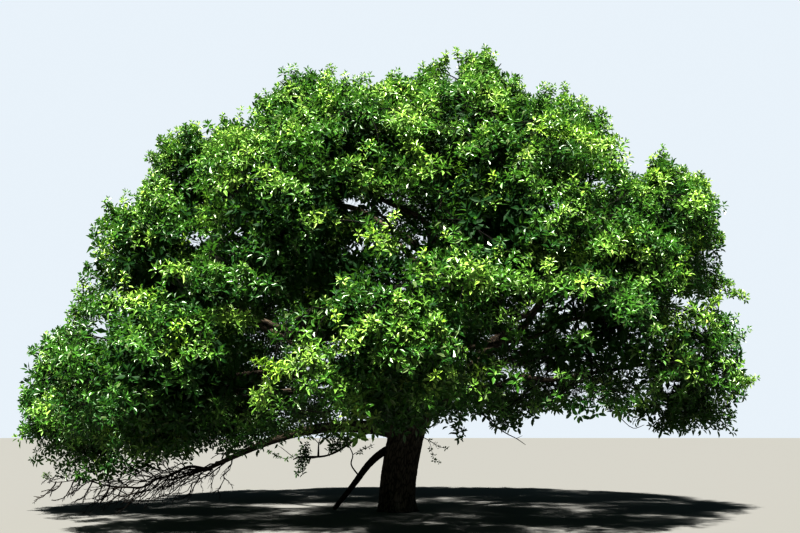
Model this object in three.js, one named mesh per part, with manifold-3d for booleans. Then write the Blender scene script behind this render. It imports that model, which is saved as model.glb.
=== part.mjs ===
// A broad old whitebeam in full summer leaf, grown in the open on a short leaning trunk.
// Millimetres, +Z up. The origin is the middle of the flat cut under the trunk, at ground level.
// +X is the side that the trunk leans to, and -Y is the front.
import * as THREE from "three";
import { mergeVertices } from "three/addons/utils/BufferGeometryUtils.js";
import Module from "manifold-3d";

const wasm = await Module();
wasm.setup();

// Trunk
const FORK_HEIGHT = 1650;
const TRUNK_TOP = 1880;
const TRUNK_RADIUS = 340;
const TRUNK_LEAN = 250; // sideways drift of the trunk's middle at the fork
const ROOT_FLARE = 0.2; // extra radius at the ground, as a share
const ROOT_FLARE_HEIGHT = 150;
const ROOT_LOBES = 5;
const RIBS = 0.03; // how far the trunk's three broad ribs stand out, as a share of its radius
const TRUNK_SIDES = 16;
const TRUNK_RINGS = 9;

// Crown: rings of foliage masses, from the drooping skirt up to the top.
// left, right, front and back are how far the masses' middles stand from the trunk, in those directions.
// A mass is a lumpy ellipsoid: "out" away from the trunk, "along" the ring, "up" in height.
const TIERS = {
  skirt: {
    count: 8, turn: 0, height: 2850, leftDrop: 800, rightRise: 0, frontDrop: 0,
    left: 5650, right: 5250, front: 4850, back: 5000,
    out: 1750, along: 2150, up: 1400, twigs: 7,
  },
  waist: {
    count: 8, turn: 22.5, height: 4700, leftDrop: 250, rightRise: 650, frontDrop: 100,
    left: 4550, right: 5000, front: 4150, back: 4400,
    out: 1650, along: 2050, up: 1550, twigs: 6,
  },
  shoulder: {
    count: 6, turn: 0, height: 6700, leftDrop: 150, rightRise: 250, frontDrop: 500,
    left: 3600, right: 2800, front: 2900, back: 3050,
    out: 1700, along: 1850, up: 1350, twigs: 5,
  },
  top: {
    count: 4, turn: 0, height: 7700, leftDrop: 100, rightRise: 300, frontDrop: 700,
    left: 1750, right: 1500, front: 1500, back: 1500,
    out: 1450, along: 1550, up: 1200, twigs: 5,
  },
};

// How far some masses stand from their place in the ring
const SHIFTS = {
  skirt_2: [0, 0, 350],
  skirt_5: [-100, 0, 250],
  skirt_8: [-250, 0, 250],
  waist_8: [-100, 300, 100],
  shoulder_5: [450, 0, -150],
  top_1: [200, 0, 0],
};
const BLEND = 1.6; // how softly neighbouring masses blend into one crown

// Tufts that stand out of the crown, and the lowest sprays on its right
const TUFTS = [
  [-7050, -300, 3050], [-4650, 0, 7200], [-2250, -800, 8250], [650, 0, 8550], [1700, 50, 8680],
  [5200, 200, 6850], [6600, 0, 2400], [1700, -2500, 1850],
];
const TUFT_LENGTH = 460;
const TUFT_STEM_START = 3; // a tuft's twig leaves its mass's stem no nearer its root than this eighth

// Limbs
const MAIN_LIMB_RADIUS = 165;
const LEADER_RADIUS = 190;
const BOUGH_RADIUS = 88;
const FIRST_BOUGH = 0.2; // where the lowest side bough leaves a main limb, as a share of its length
const BOUGH_SPACING = 0.12;
const FIRST_SHOULDER = 0.34; // the same for the boughs of the leader, to the shoulder and the top
const SHOULDER_SPACING = 0.075;
const SHOULDER_RADIUS = 80;
const FIRST_TOP = 0.78;
const TOP_SPACING = 0.06;
const TOP_RADIUS = 58;
const TIP_RADIUS = 34;
const COLLAR = 0.35; // swelling where a limb leaves its parent, as a share of its radius
const MAIN_LIMB_RISE = 0.75; // slope at which a main limb leaves the trunk
const SKIRT_RISE = 0.05;
const WAIST_RISE = 0.5;
const SHOULDER_RISE = 0.8;
const TOP_RISE = 1.2;
const LEADER_RISE = 4;
const MAIN_TIP_RADIUS = 42;
const FORK_STAGGER = 90; // every second main limb leaves the trunk this much lower
const BEND_AT_ROOT = 0.38; // how long a limb holds its first direction, as a share of its length
const BEND_AT_TIP = 0.34;
const LIMB_BENDS = 6;
const LIMB_WANDER = 0.035; // how far a limb strays from its curve, as a share of its length
const ENTRY_SHARE = 0.76; // a bough ends this far out from its mass's middle, as a share of its radius
const LOW_LIMB_TIP = 46;
const SHOOT_TIP = 16;

// Twigs and leaves. A leaf here stands for a spray of real ones.
const CROWN_SEED = 500;
const SPRAYS_PER_TWIG = 4;
const TWIG_RADIUS = 20;
const TWIG_ARCH = 0.12; // how far a twig's middle is raised, as a share of its length
const STEM_BEYOND = 0.35; // how far a stem runs on past its mass's middle, as a share of its reach
const TWIG_STARTS = [0.92, 0.35]; // where the first and the last twig leave the stem
const TWIG_REACHES = [0.72, 0.66, 0.6, 0.52]; // where a leafy twig may end, as shares of its mass's reach
const BARE_TWIG_REACHES = [0.97, 0.85, 0.7, 0.55];
const SPRAY_LENGTH = 1550;
const SPRAY_SIZES = [1, 0.87, 0.75, 0.64, 0.54, 0.45]; // a spray takes the largest that fits its place
const SPRAY_WIDTH = 0.72; // share of its length
const SPRAY_THICKNESS = 0.025; // share of its length
const SPRAY_ROOT_SINK = 0.85; // how deep a spray's root is sunk, as a share of the twig's radius
const LUMPS = 0.09; // how far a mass's outline swells and shrinks, as a share
const FORWARD_TWIG = 0.93; // the first twig points almost straight on, and the last one back beside the stem
const BACKWARD_TWIG = -0.55;
const CORE_SHARE = 0.5; // the dense inside of a mass, as a share of its radius
const CORE_RUGGEDNESS = 0.28; // how far its corners stand in or out, as a share
const CORE_SIZES = [1, 0.85, 0.7, 0.55, 0.4, 0.25]; // each corner takes the largest that fits
const CORE_GAP = 120; // between a core and a limb
const GOLDEN_ANGLE = Math.PI * (3 - Math.sqrt(5));

const CLEARANCE = 0.3; // between pieces that touch on the tree
const MASS_GAP = 12; // between one mass's space and the next
const LIMB_GAP = 45; // between foliage and the limbs that pass it
const GROUND_GAP = 60;
const FLATNESS = 1.3; // masses are this much wider than high, which sets where they part

const BARK = { color: 0x3a322b, roughness: 0.95 };
const DEAD_BARK = { color: 0x5b5148, roughness: 0.95 };
const LEAF_GREENS = [0x3f7a1f, 0x4c8a24, 0x356b1c];

const UP = new THREE.Vector3(0, 0, 1);
const vec = (x, y, z) => new THREE.Vector3(x, y, z);
const mix = (a, b, share) => a + (b - a) * share;

// Random numbers from 0 to 1 by a 32-bit linear congruential rule, the same on each run.
function randomFrom(seed) {
  let state = (seed * 2654435761) >>> 0;
  return () => {
    state = (Math.imul(state, 1664525) + 1013904223) >>> 0;
    return (state >>> 8) / 16777216;
  };
}

function solidFrom(geometry) {
  const bare = geometry.clone().deleteAttribute("normal").deleteAttribute("uv");
  const merged = mergeVertices(bare, 1e-3);
  return new wasm.Manifold(
    new wasm.Mesh({
      numProp: 3,
      vertProperties: merged.attributes.position.array,
      triVerts: new Uint32Array(merged.index.array),
    }),
  );
}

function geometryFrom(solid) {
  const { vertProperties, triVerts } = solid.getMesh();
  const geometry = new THREE.BufferGeometry();
  geometry.setAttribute("position", new THREE.BufferAttribute(vertProperties, 3));
  geometry.setIndex(new THREE.BufferAttribute(triVerts, 1));
  geometry.computeVertexNormals();
  return geometry;
}

// Keeps the largest closed body: loose scraps go, and a sealed hollow is filled.
function largestBody(solid) {
  const bodies = solid.decompose().sort((a, b) => b.volume() - a.volume());
  return bodies[0];
}

// The trunk: a lobed, leaning taper with a root flare, cut flat at the ground and domed under the limbs.
function trunkCentre(z) {
  return TRUNK_LEAN * (z / FORK_HEIGHT) ** 2;
}

function trunkRadius(z, angle) {
  const flare = ROOT_FLARE * Math.exp(-z / ROOT_FLARE_HEIGHT);
  const lobes = flare * 0.4 * Math.cos(ROOT_LOBES * angle + 0.6);
  const ribs = RIBS * Math.cos(3 * angle + z / 900);
  const dome = z > FORK_HEIGHT ? 1 - 0.45 * ((z - FORK_HEIGHT) / (TRUNK_TOP - FORK_HEIGHT)) ** 2 : 1;
  return TRUNK_RADIUS * (1 + flare + lobes + ribs) * dome;
}

// "extra" makes it that much thicker all round and on top.
function trunkSolid(extra = 0) {
  const tube = new THREE.CylinderGeometry(1, 1, 1, TRUNK_SIDES, TRUNK_RINGS);
  const place = tube.attributes.position;
  for (let i = 0; i < place.count; i++) {
    const share = place.getY(i) + 0.5;
    const z = TRUNK_TOP * share ** 1.5;
    const angle = Math.atan2(-place.getZ(i), place.getX(i));
    const onAxis = Math.hypot(place.getX(i), place.getZ(i)) < 0.5;
    const radius = onAxis ? 0 : trunkRadius(z, angle) + extra;
    const lift = share === 1 ? extra : 0;
    place.setXYZ(i, trunkCentre(z) + radius * Math.cos(angle), radius * Math.sin(angle), z + lift);
  }
  return solidFrom(tube);
}

// A limb or twig: a cylinder bent along its curve, with its radius from radiusAt(share of length).
// "extra" makes it that much thicker, and longer at both ends.
function tubeSolid(curve, radiusAt, sides, steps, extra = 0) {
  const pointed = radiusAt(1) === 0;
  const tube = new THREE.CylinderGeometry(pointed ? 0 : 1, 1, 1, sides, steps);
  const frames = curve.computeFrenetFrames(steps);
  const place = tube.attributes.position;
  for (let i = 0; i < place.count; i++) {
    const share = place.getY(i) + 0.5;
    const ring = Math.round(share * steps);
    const angle = Math.atan2(place.getZ(i), place.getX(i));
    const onAxis = Math.hypot(place.getX(i), place.getZ(i)) < 1e-6;
    const radius = onAxis ? 0 : radiusAt(share) + extra;
    const beyond = ring === 0 ? -extra : ring === steps ? extra : 0;
    const point = curve
      .getPointAt(share)
      .addScaledVector(frames.tangents[ring], beyond)
      .addScaledVector(frames.normals[ring], radius * Math.cos(angle))
      .addScaledVector(frames.binormals[ring], -radius * Math.sin(angle));
    place.setXYZ(i, point.x, point.y, point.z);
  }
  return solidFrom(tube);
}

// A smooth path that leaves one point along one direction, reaches another along a second,
// and wanders a little.
function wanderingCurve(from, leave, to, arrive, random) {
  const length = from.distanceTo(to);
  const bezier = new THREE.CubicBezierCurve3(
    from,
    from.clone().addScaledVector(leave, BEND_AT_ROOT * length),
    to.clone().addScaledVector(arrive, -BEND_AT_TIP * length),
    to,
  );
  const across = leave.clone().cross(UP).normalize();
  const points = bezier.getPoints(LIMB_BENDS).map((point, i, all) => {
    const free = Math.sin((Math.PI * i) / (all.length - 1));
    const stray = LIMB_WANDER * length * free;
    return point
      .addScaledVector(across, stray * (2 * random() - 1))
      .addScaledVector(UP, stray * (2 * random() - 1));
  });
  return new THREE.CatmullRomCurve3(points);
}

const limbs = [];

// Adds a limb that is seated on the limbs made before it:
// their shapes, grown by the clearance, are cut from its root.
function addLimb({ name, curve, rootRadius, tipRadius, collar = COLLAR, dead = false }) {
  const length = curve.getLength();
  const radiusAt = (share) => {
    const swelling = collar * Math.exp((-share * length) / (1.6 * rootRadius));
    return mix(rootRadius, tipRadius, share ** 0.85) * (1 + swelling);
  };
  const [sides, steps] = rootRadius > 100 ? [8, 7] : [6, 4];
  const whole = tubeSolid(curve, radiusAt, sides, steps);
  const grown = tubeSolid(curve, radiusAt, sides, steps, CLEARANCE);
  const cut = [trunk, ...limbs].reduce((solid, seat) => solid.subtract(seat.grown), whole);
  const limb = { name, curve, radiusAt, grown, dead, solid: largestBody(cut), boughs: 0 };
  limb.line = curve.getSpacedPoints(24).map((point, i) => ({ point, radius: radiusAt(i / 24) }));
  limbs.push(limb);
  return limb;
}

const trunk = {
  name: "trunk",
  solid: trunkSolid(),
  grown: trunkSolid(CLEARANCE),
  line: Array.from({ length: 13 }, (_, i) => {
    const z = (TRUNK_TOP * i) / 12;
    return { point: vec(trunkCentre(z), 0, z), radius: trunkRadius(z, 0) };
  }),
};

// The middle and axes of mass number k of a tier.
function crownMass(tierName, k) {
  const tier = TIERS[tierName];
  const heading = THREE.MathUtils.degToRad(tier.turn + (360 * k) / tier.count);
  const [c, s] = [Math.cos(heading), Math.sin(heading)];
  const reach = 1 / Math.hypot(c / (c > 0 ? tier.right : tier.left), s / (s > 0 ? tier.back : tier.front));
  const drop = tier.leftDrop * Math.max(0, -c) ** 2 + tier.frontDrop * Math.max(0, -s) ** 2;
  const rise = tier.rightRise * Math.max(0, c) ** 4;
  const name = `${tierName}_${k + 1}`;
  return {
    name,
    seed: CROWN_SEED * (Object.keys(TIERS).indexOf(tierName) + 1) + k,
    centre: vec(reach * c, reach * s, tier.height - drop + rise).add(vec(...(SHIFTS[name] ?? [0, 0, 0]))),
    axes: [vec(c, s, 0), vec(-s, c, 0), UP],
    radii: [tier.out, tier.along, tier.up],
    twigs: tier.twigs,
    dense: true,
  };
}

// How far a mass reaches from its middle in a direction, to its lumpy outline.
function massReach(mass, direction) {
  const parts = mass.axes.map((axis, i) => direction.dot(axis) / mass.radii[i]);
  const smooth = 1 / Math.hypot(...parts);
  const { x, y, z } = direction;
  const lumps = Math.sin(3.1 * x + 2.3 * y + mass.seed) + Math.sin(2.7 * y - 3.7 * z + 2 * mass.seed);
  return smooth * (1 + 0.5 * LUMPS * lumps);
}

// How far out a point is in a mass's ellipsoid: 1 on its surface.
function distanceOut(mass, point) {
  const offset = point.clone().sub(mass.centre);
  return Math.hypot(...mass.axes.map((axis, i) => offset.dot(axis) / mass.radii[i]));
}

// True where a point is in the crown, whose leafy masses blend into one outline, or in a bare mass.
function insideOutline(mass, point) {
  if (mass.bare) return distanceOut(mass, point) < 1;
  const leafy = masses.filter((each) => !each.bare);
  return leafy.reduce((sum, each) => sum + Math.exp(BLEND * (1 - distanceOut(each, point) ** 2)), 0) > 1;
}

function inOwnSpace(mass, point) {
  return insideOutline(mass, point) && onOwnSide(mass, point);
}

// True where a point is above the ground and on a mass's side of the plane
// that parts it from each other mass.
function onOwnSide(mass, point) {
  if (point.z < GROUND_GAP) return false;
  return masses.every((other) => {
    if (other === mass) return true;
    const between = other.centre.clone().sub(mass.centre);
    between.z *= FLATNESS * FLATNESS;
    const middle = mass.centre.clone().lerp(other.centre, mass.size / (mass.size + other.size));
    return point.clone().sub(middle).dot(between) < -MASS_GAP * between.length();
  });
}

// True where a ball round a point is clear of the trunk and of every limb.
function clearOfLimbs(point, ball) {
  const segment = new THREE.Line3();
  const nearest = vec(0, 0, 0);
  return [trunk, ...limbs].every((limb) => {
    return limb.line.slice(1).every((to, i) => {
      segment.set(limb.line[i].point, to.point).closestPointToPoint(point, true, nearest);
      return nearest.distanceTo(point) > ball + Math.max(to.radius, limb.line[i].radius);
    });
  });
}

// True where a spray's outline is in its mass's space, or for a tuft on its side, and clear of the limbs.
function sprayFits(mass, root, along, side, length, allowed = inOwnSpace) {
  const half = 0.5 * SPRAY_WIDTH * length;
  const outline = [
    [0.25, 0.5], [0.25, -0.5], [0.5, 1], [0.5, -1], [0.75, 0.5], [0.75, -0.5], [1, 0],
  ];
  const points = outline.map(([u, v]) =>
    root.clone().addScaledVector(along, u * length).addScaledVector(side, v * half),
  );
  const middles = [0.25, 0.5, 0.75].map((u) => root.clone().addScaledVector(along, u * length));
  return (
    points.every((point) => allowed(mass, point)) &&
    [...points, ...middles].every((point) => clearOfLimbs(point, LIMB_GAP + 0.12 * length))
  );
}

// A leaf blade that stands for a spray: eight faces, pointed at root and tip.
function spraySolid(root, along, side, length) {
  const normal = side.clone().cross(along);
  const blade = new THREE.OctahedronGeometry(0.5);
  const frame = new THREE.Matrix4().makeBasis(
    side.clone().multiplyScalar(SPRAY_WIDTH * length),
    along.clone().multiplyScalar(length),
    normal.multiplyScalar(SPRAY_THICKNESS * length),
  );
  frame.setPosition(root.clone().addScaledVector(along, 0.5 * length));
  return solidFrom(blade.applyMatrix4(frame));
}

// The sprays of one twig: a star of them round its outer part, and one that carries on from its tip.
// Each takes the largest size that stays in the mass's space and crosses no other spray.
function addSprays(mass, twig, sprays, random) {
  const phase = 2 * Math.PI * random();
  for (let j = 0; j < SPRAYS_PER_TWIG; j++) {
    const atTip = j === SPRAYS_PER_TWIG - 1;
    const share = atTip ? 0.98 : mix(0.7, 0.94, j / (SPRAYS_PER_TWIG - 2));
    const point = twig.getPointAt(share);
    const forward = twig.getTangentAt(share);
    const east = forward.clone().cross(UP).normalize();
    const north = east.clone().cross(forward);
    const round = phase + (2 * Math.PI * j) / (SPRAYS_PER_TWIG - 1);
    const sideways = east.multiplyScalar(Math.cos(round)).addScaledVector(north, Math.sin(round));
    const spread = atTip ? 0.6 : 1.4 + 0.6 * random();
    const along = forward.clone().addScaledVector(sideways, spread).normalize();
    const face = atTip
      ? UP.clone().addScaledVector(sideways, 0.4)
      : forward.clone().addScaledVector(UP, 0.5 * random());
    const side = along.clone().cross(face).normalize();
    const root = point.addScaledVector(along, -SPRAY_ROOT_SINK * TWIG_RADIUS);
    const full = SPRAY_LENGTH * mass.leafScale * (0.85 + 0.3 * random());
    const spray = SPRAY_SIZES.map((size) => size * full)
      .filter((length) => sprayFits(mass, root, along, side, length))
      .map((length) => spraySolid(root, along, side, length))
      .find((blade) => sprays.every((other) => blade.intersect(other).isEmpty()));
    if (spray) sprays.push(spray);
  }
}

// A tuft that stands out of the crown: two crossed sprays on a twig of its own.
function addTuft(mass, place, stem, twigs, sprays) {
  const end = vec(...place);
  const starts = stem.getSpacedPoints(8).slice(TUFT_STEM_START);
  const near = starts.reduce((a, b) => (a.distanceTo(end) < b.distanceTo(end) ? a : b));
  const bend = near.clone().lerp(end, 0.5).addScaledVector(UP, TWIG_ARCH * near.distanceTo(end));
  const twig = new THREE.QuadraticBezierCurve3(near, bend, end);
  const touching = twig.getSpacedPoints(10).slice(1);
  if (!touching.every((point) => onOwnSide(mass, point) && clearOfLimbs(point, LIMB_GAP))) return;
  const outward = end.clone().sub(mass.centre).normalize();
  const east = outward.clone().cross(UP).normalize();
  const north = east.clone().cross(outward);
  const before = sprays.length;
  for (const lean of [-0.7, 0.7]) {
    const along = outward.clone().addScaledVector(east, lean).addScaledVector(north, 0.3).normalize();
    const side = along.clone().cross(north).normalize();
    const root = end.clone().addScaledVector(along, -0.2 * TWIG_RADIUS);
    const spray = SPRAY_SIZES.map((size) => size * TUFT_LENGTH)
      .filter((length) => sprayFits(mass, root, along, side, length, onOwnSide))
      .map((length) => spraySolid(root, along, side, length))
      .find((blade) => sprays.slice(0, before).every((other) => blade.intersect(other).isEmpty()));
    if (spray) sprays.push(spray);
  }
  if (sprays.length > before) twigs.push(twig);
}

function nearestMass(place) {
  const leafy = masses.filter((each) => !each.bare);
  return leafy.reduce((a, b) => (distanceOut(a, vec(...place)) < distanceOut(b, vec(...place)) ? a : b));
}

// Twigs that branch from one stem by a seeded rule: their tips are spread evenly over the mass's outline.
function growMass(mass) {
  const random = randomFrom(mass.seed);
  const { tip, heading } = mass.entry;
  const onward = mass.centre.clone().sub(tip).normalize();
  const stemEnd = mass.centre.clone().addScaledVector(onward, STEM_BEYOND * massReach(mass, onward));
  const stem = new THREE.CubicBezierCurve3(
    tip,
    tip.clone().addScaledVector(heading, 0.3 * tip.distanceTo(stemEnd)),
    mass.centre,
    stemEnd,
  );
  const east = onward.clone().cross(UP).normalize();
  const north = east.clone().cross(onward);
  const phase = 2 * Math.PI * random();
  const twigs = [];
  const sprays = [];
  for (let i = 0; i < mass.twigs; i++) {
    const forward = mix(FORWARD_TWIG, BACKWARD_TWIG, i / (mass.twigs - 1));
    const round = phase + i * GOLDEN_ANGLE;
    const across = Math.sqrt(1 - forward * forward);
    const direction = onward
      .clone()
      .multiplyScalar(forward)
      .addScaledVector(east, across * Math.cos(round))
      .addScaledVector(north, across * Math.sin(round));
    const reach = massReach(mass, direction);
    const ends = (mass.bare ? BARE_TWIG_REACHES : TWIG_REACHES).map((share) =>
      mass.centre.clone().addScaledVector(direction, share * reach),
    );
    const end = ends.find((point) => inOwnSpace(mass, point) && clearOfLimbs(point, LIMB_GAP));
    if (!end) continue;
    const start = stem.getPointAt(mix(...TWIG_STARTS, i / (mass.twigs - 1)));
    const bend = start.clone().lerp(end, 0.5).addScaledVector(UP, TWIG_ARCH * start.distanceTo(end));
    const twig = new THREE.QuadraticBezierCurve3(start, bend, end);
    const touching = twig.getSpacedPoints(8).slice(1);
    if (!touching.every((point) => inOwnSpace(mass, point) && clearOfLimbs(point, LIMB_GAP))) continue;
    if (mass.bare) {
      twigs.push(twig, ...sideTwigs(mass, twig, random));
      continue;
    }
    const before = sprays.length;
    addSprays(mass, twig, sprays, random);
    if (sprays.length > before) twigs.push(twig);
  }
  TUFTS.filter((place) => nearestMass(place) === mass).forEach((place) => {
    addTuft(mass, place, stem, twigs, sprays);
  });
  return { stem, twigs, sprays };
}

// The finer twigs of a dead twig, in place of its leaves.
function sideTwigs(mass, twig, random) {
  return [0.4, 0.65].flatMap((share, j) => {
    const start = twig.getPointAt(share);
    const forward = twig.getTangentAt(share);
    const sideways = forward.clone().cross(UP).normalize().multiplyScalar(j % 2 ? 1 : -1);
    const along = forward
      .addScaledVector(sideways, 0.9)
      .addScaledVector(UP, 0.9 * (random() - 0.6))
      .normalize();
    const length = twig.getLength() * mix(0.75, 0.35, share);
    const end = start.clone().addScaledVector(along, length);
    const bend = start.clone().lerp(end, 0.5).addScaledVector(UP, -0.08 * length);
    return inOwnSpace(mass, end) ? [new THREE.QuadraticBezierCurve3(start, bend, end)] : [];
  });
}

// The dense inside of a mass, drawn in where it would come near its neighbours or a limb.
function coreSolid(mass) {
  const core = new THREE.OctahedronGeometry(1, 1);
  const place = core.attributes.position;
  const rugged = (x, y, z) => Math.sin(11 * x + 7 * y + mass.seed) + Math.sin(9 * y - 13 * z - mass.seed);
  for (let i = 0; i < place.count; i++) {
    const direction = vec(place.getX(i), place.getY(i), place.getZ(i)).normalize();
    const swell = 1 + 0.5 * CORE_RUGGEDNESS * rugged(direction.x, direction.y, direction.z);
    const full = CORE_SHARE * swell * massReach(mass, direction);
    const points = CORE_SIZES.map((size) => mass.centre.clone().addScaledVector(direction, size * full));
    const point = points.find((each) => inOwnSpace(mass, each) && clearOfLimbs(each, CORE_GAP));
    const { x, y, z } = point ?? points.at(-1);
    place.setXYZ(i, x, y, z);
  }
  return solidFrom(core);
}

function massSolid(mass) {
  const { stem, twigs, sprays } = growMass(mass);
  const stemRadius = mass.entry.radius;
  const twigRadius = mass.bare ? 0.6 * TWIG_RADIUS : TWIG_RADIUS;
  const parts = [
    tubeSolid(stem, (share) => mix(stemRadius, 1.1 * twigRadius, share), 3, 3),
    ...twigs.map((twig) => tubeSolid(twig, (share) => twigRadius * (1 - share), 3, 2)),
    ...sprays,
  ];
  if (mass.dense) parts.push(coreSolid(mass));
  return largestBody(parts.reduce((solid, part) => solid.add(part)));
}

// Where a bough ends and its mass's stem begins.
function entryOf(mass, from) {
  const inward = from.clone().sub(mass.centre).normalize();
  return mass.centre.clone().addScaledVector(inward, ENTRY_SHARE * massReach(mass, inward));
}

// A bough from a point on its parent to the mass that it carries.
function addBough(mass, { parent, share, rise, rootRadius, tipRadius = TIP_RADIUS }) {
  const random = randomFrom(mass.seed + 7);
  const from = parent === trunk ? vec(trunkCentre(share), 0, share) : parent.curve.getPointAt(share);
  const to = entryOf(mass, from);
  const outward = to.clone().sub(from).setZ(0).normalize();
  const leave = outward.clone().addScaledVector(UP, rise).normalize();
  if (parent !== trunk) leave.addScaledVector(parent.curve.getTangentAt(share), 0.6).normalize();
  const arrive = mass.centre.clone().sub(to).normalize().addScaledVector(outward, 0.5).normalize();
  const curve = wanderingCurve(from, leave, to, arrive, random);
  const limb = addLimb({ name: `bough_${mass.name}`, curve, rootRadius, tipRadius });
  enterMass(mass, limb, tipRadius);
  return limb;
}

function enterMass(mass, limb, tipRadius) {
  const heading = limb.curve.getTangentAt(1);
  const tip = limb.curve.getPointAt(1).addScaledVector(heading, CLEARANCE);
  mass.entry = { tip, heading, radius: 0.95 * tipRadius };
}

const crown = Object.fromEntries(
  Object.entries(TIERS).map(([name, tier]) => [
    name,
    Array.from({ length: tier.count }, (_, k) => crownMass(name, k)),
  ]),
);

// The hanging spray of leaves under the low left limb, and the dead twigs at that limb's far end.
const hanging = {
  name: "hanging", seed: 701, twigs: 3,
  centre: vec(-1600, -620, 1040), axes: [vec(-1, 0, 0), vec(0, -1, 0), UP], radii: [480, 440, 420],
};
const bareTwigs = {
  name: "bare_twigs", seed: 702, twigs: 5, bare: true,
  centre: vec(-4750, -650, 620), axes: [vec(-1, 0, 0), vec(0, -1, 0), UP], radii: [1500, 1000, 560],
};

const masses = [...Object.values(crown).flat(), hanging, bareTwigs];
masses.forEach((mass) => {
  mass.size = Math.cbrt(mass.radii[0] * mass.radii[1] * mass.radii[2]);
  mass.leafScale = Math.min(1, mass.size / 1500);
});

// The leader and the four main limbs rise from the trunk, and the other boughs spring from those.
const leader = addBough(crown.top[0], {
  parent: trunk, share: FORK_HEIGHT, rise: LEADER_RISE, rootRadius: LEADER_RADIUS, tipRadius: MAIN_TIP_RADIUS,
});
const mainLimbs = crown.waist
  .filter((_, k) => k % 2 === 0)
  .map((mass, i) =>
    addBough(mass, {
      parent: trunk,
      share: FORK_HEIGHT - FORK_STAGGER * (i % 2) - 60,
      rise: MAIN_LIMB_RISE,
      rootRadius: MAIN_LIMB_RADIUS,
      tipRadius: MAIN_TIP_RADIUS,
    }),
  );

function nearestMainLimb(mass) {
  const apart = (limb) => {
    const tip = limb.curve.getPointAt(1).setZ(0).normalize();
    return tip.distanceTo(mass.centre.clone().setZ(0).normalize());
  };
  return mainLimbs.reduce((best, limb) => (apart(limb) < apart(best) ? limb : best));
}

// The boughs of a main limb leave it one after another, the lowest first.
function addSideBough(mass, rise) {
  const parent = nearestMainLimb(mass);
  const share = FIRST_BOUGH + BOUGH_SPACING * parent.boughs++;
  addBough(mass, { parent, share, rise, rootRadius: BOUGH_RADIUS });
}

crown.skirt.forEach((mass) => addSideBough(mass, SKIRT_RISE));
crown.waist.filter((_, k) => k % 2 === 1).forEach((mass) => addSideBough(mass, WAIST_RISE));
crown.shoulder.forEach((mass, k) => {
  const share = FIRST_SHOULDER + SHOULDER_SPACING * k;
  addBough(mass, { parent: leader, share, rise: SHOULDER_RISE, rootRadius: SHOULDER_RADIUS });
});
crown.top.slice(1).forEach((mass, k) => {
  const share = FIRST_TOP + TOP_SPACING * k;
  addBough(mass, { parent: leader, share, rise: TOP_RISE, rootRadius: TOP_RADIUS });
});

// The low left limb, the drooping shoot under it, and the dead limb that leans from the trunk to the ground.
const lowLimb = addLimb({
  name: "bough_low_left",
  curve: new THREE.CubicBezierCurve3(
    vec(60, 0, 1500), vec(-1500, -150, 1780), vec(-2300, -400, 1400), vec(-3590, -550, 780),
  ),
  rootRadius: 150,
  tipRadius: LOW_LIMB_TIP,
});
enterMass(bareTwigs, lowLimb, LOW_LIMB_TIP);
const shoot = addLimb({
  name: "bough_hanging",
  curve: new THREE.CubicBezierCurve3(
    vec(-520, -30, 1500), vec(-760, -350, 1440), vec(-980, -560, 1150), vec(-1290, -610, 1060),
  ),
  rootRadius: 42,
  tipRadius: SHOOT_TIP,
});
enterMass(hanging, shoot, SHOOT_TIP);
const propUpper = addLimb({
  name: "prop_limb_upper",
  curve: new THREE.CubicBezierCurve3(
    vec(40, -60, 1200), vec(-180, -80, 1200), vec(-420, -100, 1040), vec(-640, -120, 750),
  ),
  rootRadius: 84,
  tipRadius: 76,
  collar: 0.15,
  dead: true,
});
const propBend = propUpper.curve.getPointAt(1);
addLimb({
  name: "prop_limb_lower",
  curve: new THREE.CubicBezierCurve3(
    propBend, vec(-740, -130, 600), vec(-860, -140, 450), vec(-1180, -160, 55),
  ),
  rootRadius: 76,
  tipRadius: 44,
  collar: 0,
  dead: true,
});

const tree = new THREE.Group();

function addMesh(name, solid, { color, roughness }) {
  const mesh = new THREE.Mesh(
    geometryFrom(solid),
    new THREE.MeshStandardMaterial({ color, roughness, metalness: 0 }),
  );
  mesh.name = name;
  tree.add(mesh);
}

addMesh("trunk", trunk.solid, BARK);
limbs.forEach((limb) => addMesh(limb.name, limb.solid, limb.dead ? DEAD_BARK : BARK));
masses.forEach((mass, i) => {
  const green = { color: LEAF_GREENS[i % LEAF_GREENS.length], roughness: 0.6 };
  addMesh(mass.bare ? mass.name : `foliage_${mass.name}`, massSolid(mass), mass.bare ? DEAD_BARK : green);
});

export default tree;
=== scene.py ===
# A broad old whitebeam in full summer leaf, on a short leaning trunk.
# Metres, +Z up. The origin is at ground level under the trunk, and -Y is the front.
import math

import bpy
import numpy as np
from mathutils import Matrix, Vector, noise


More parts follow.
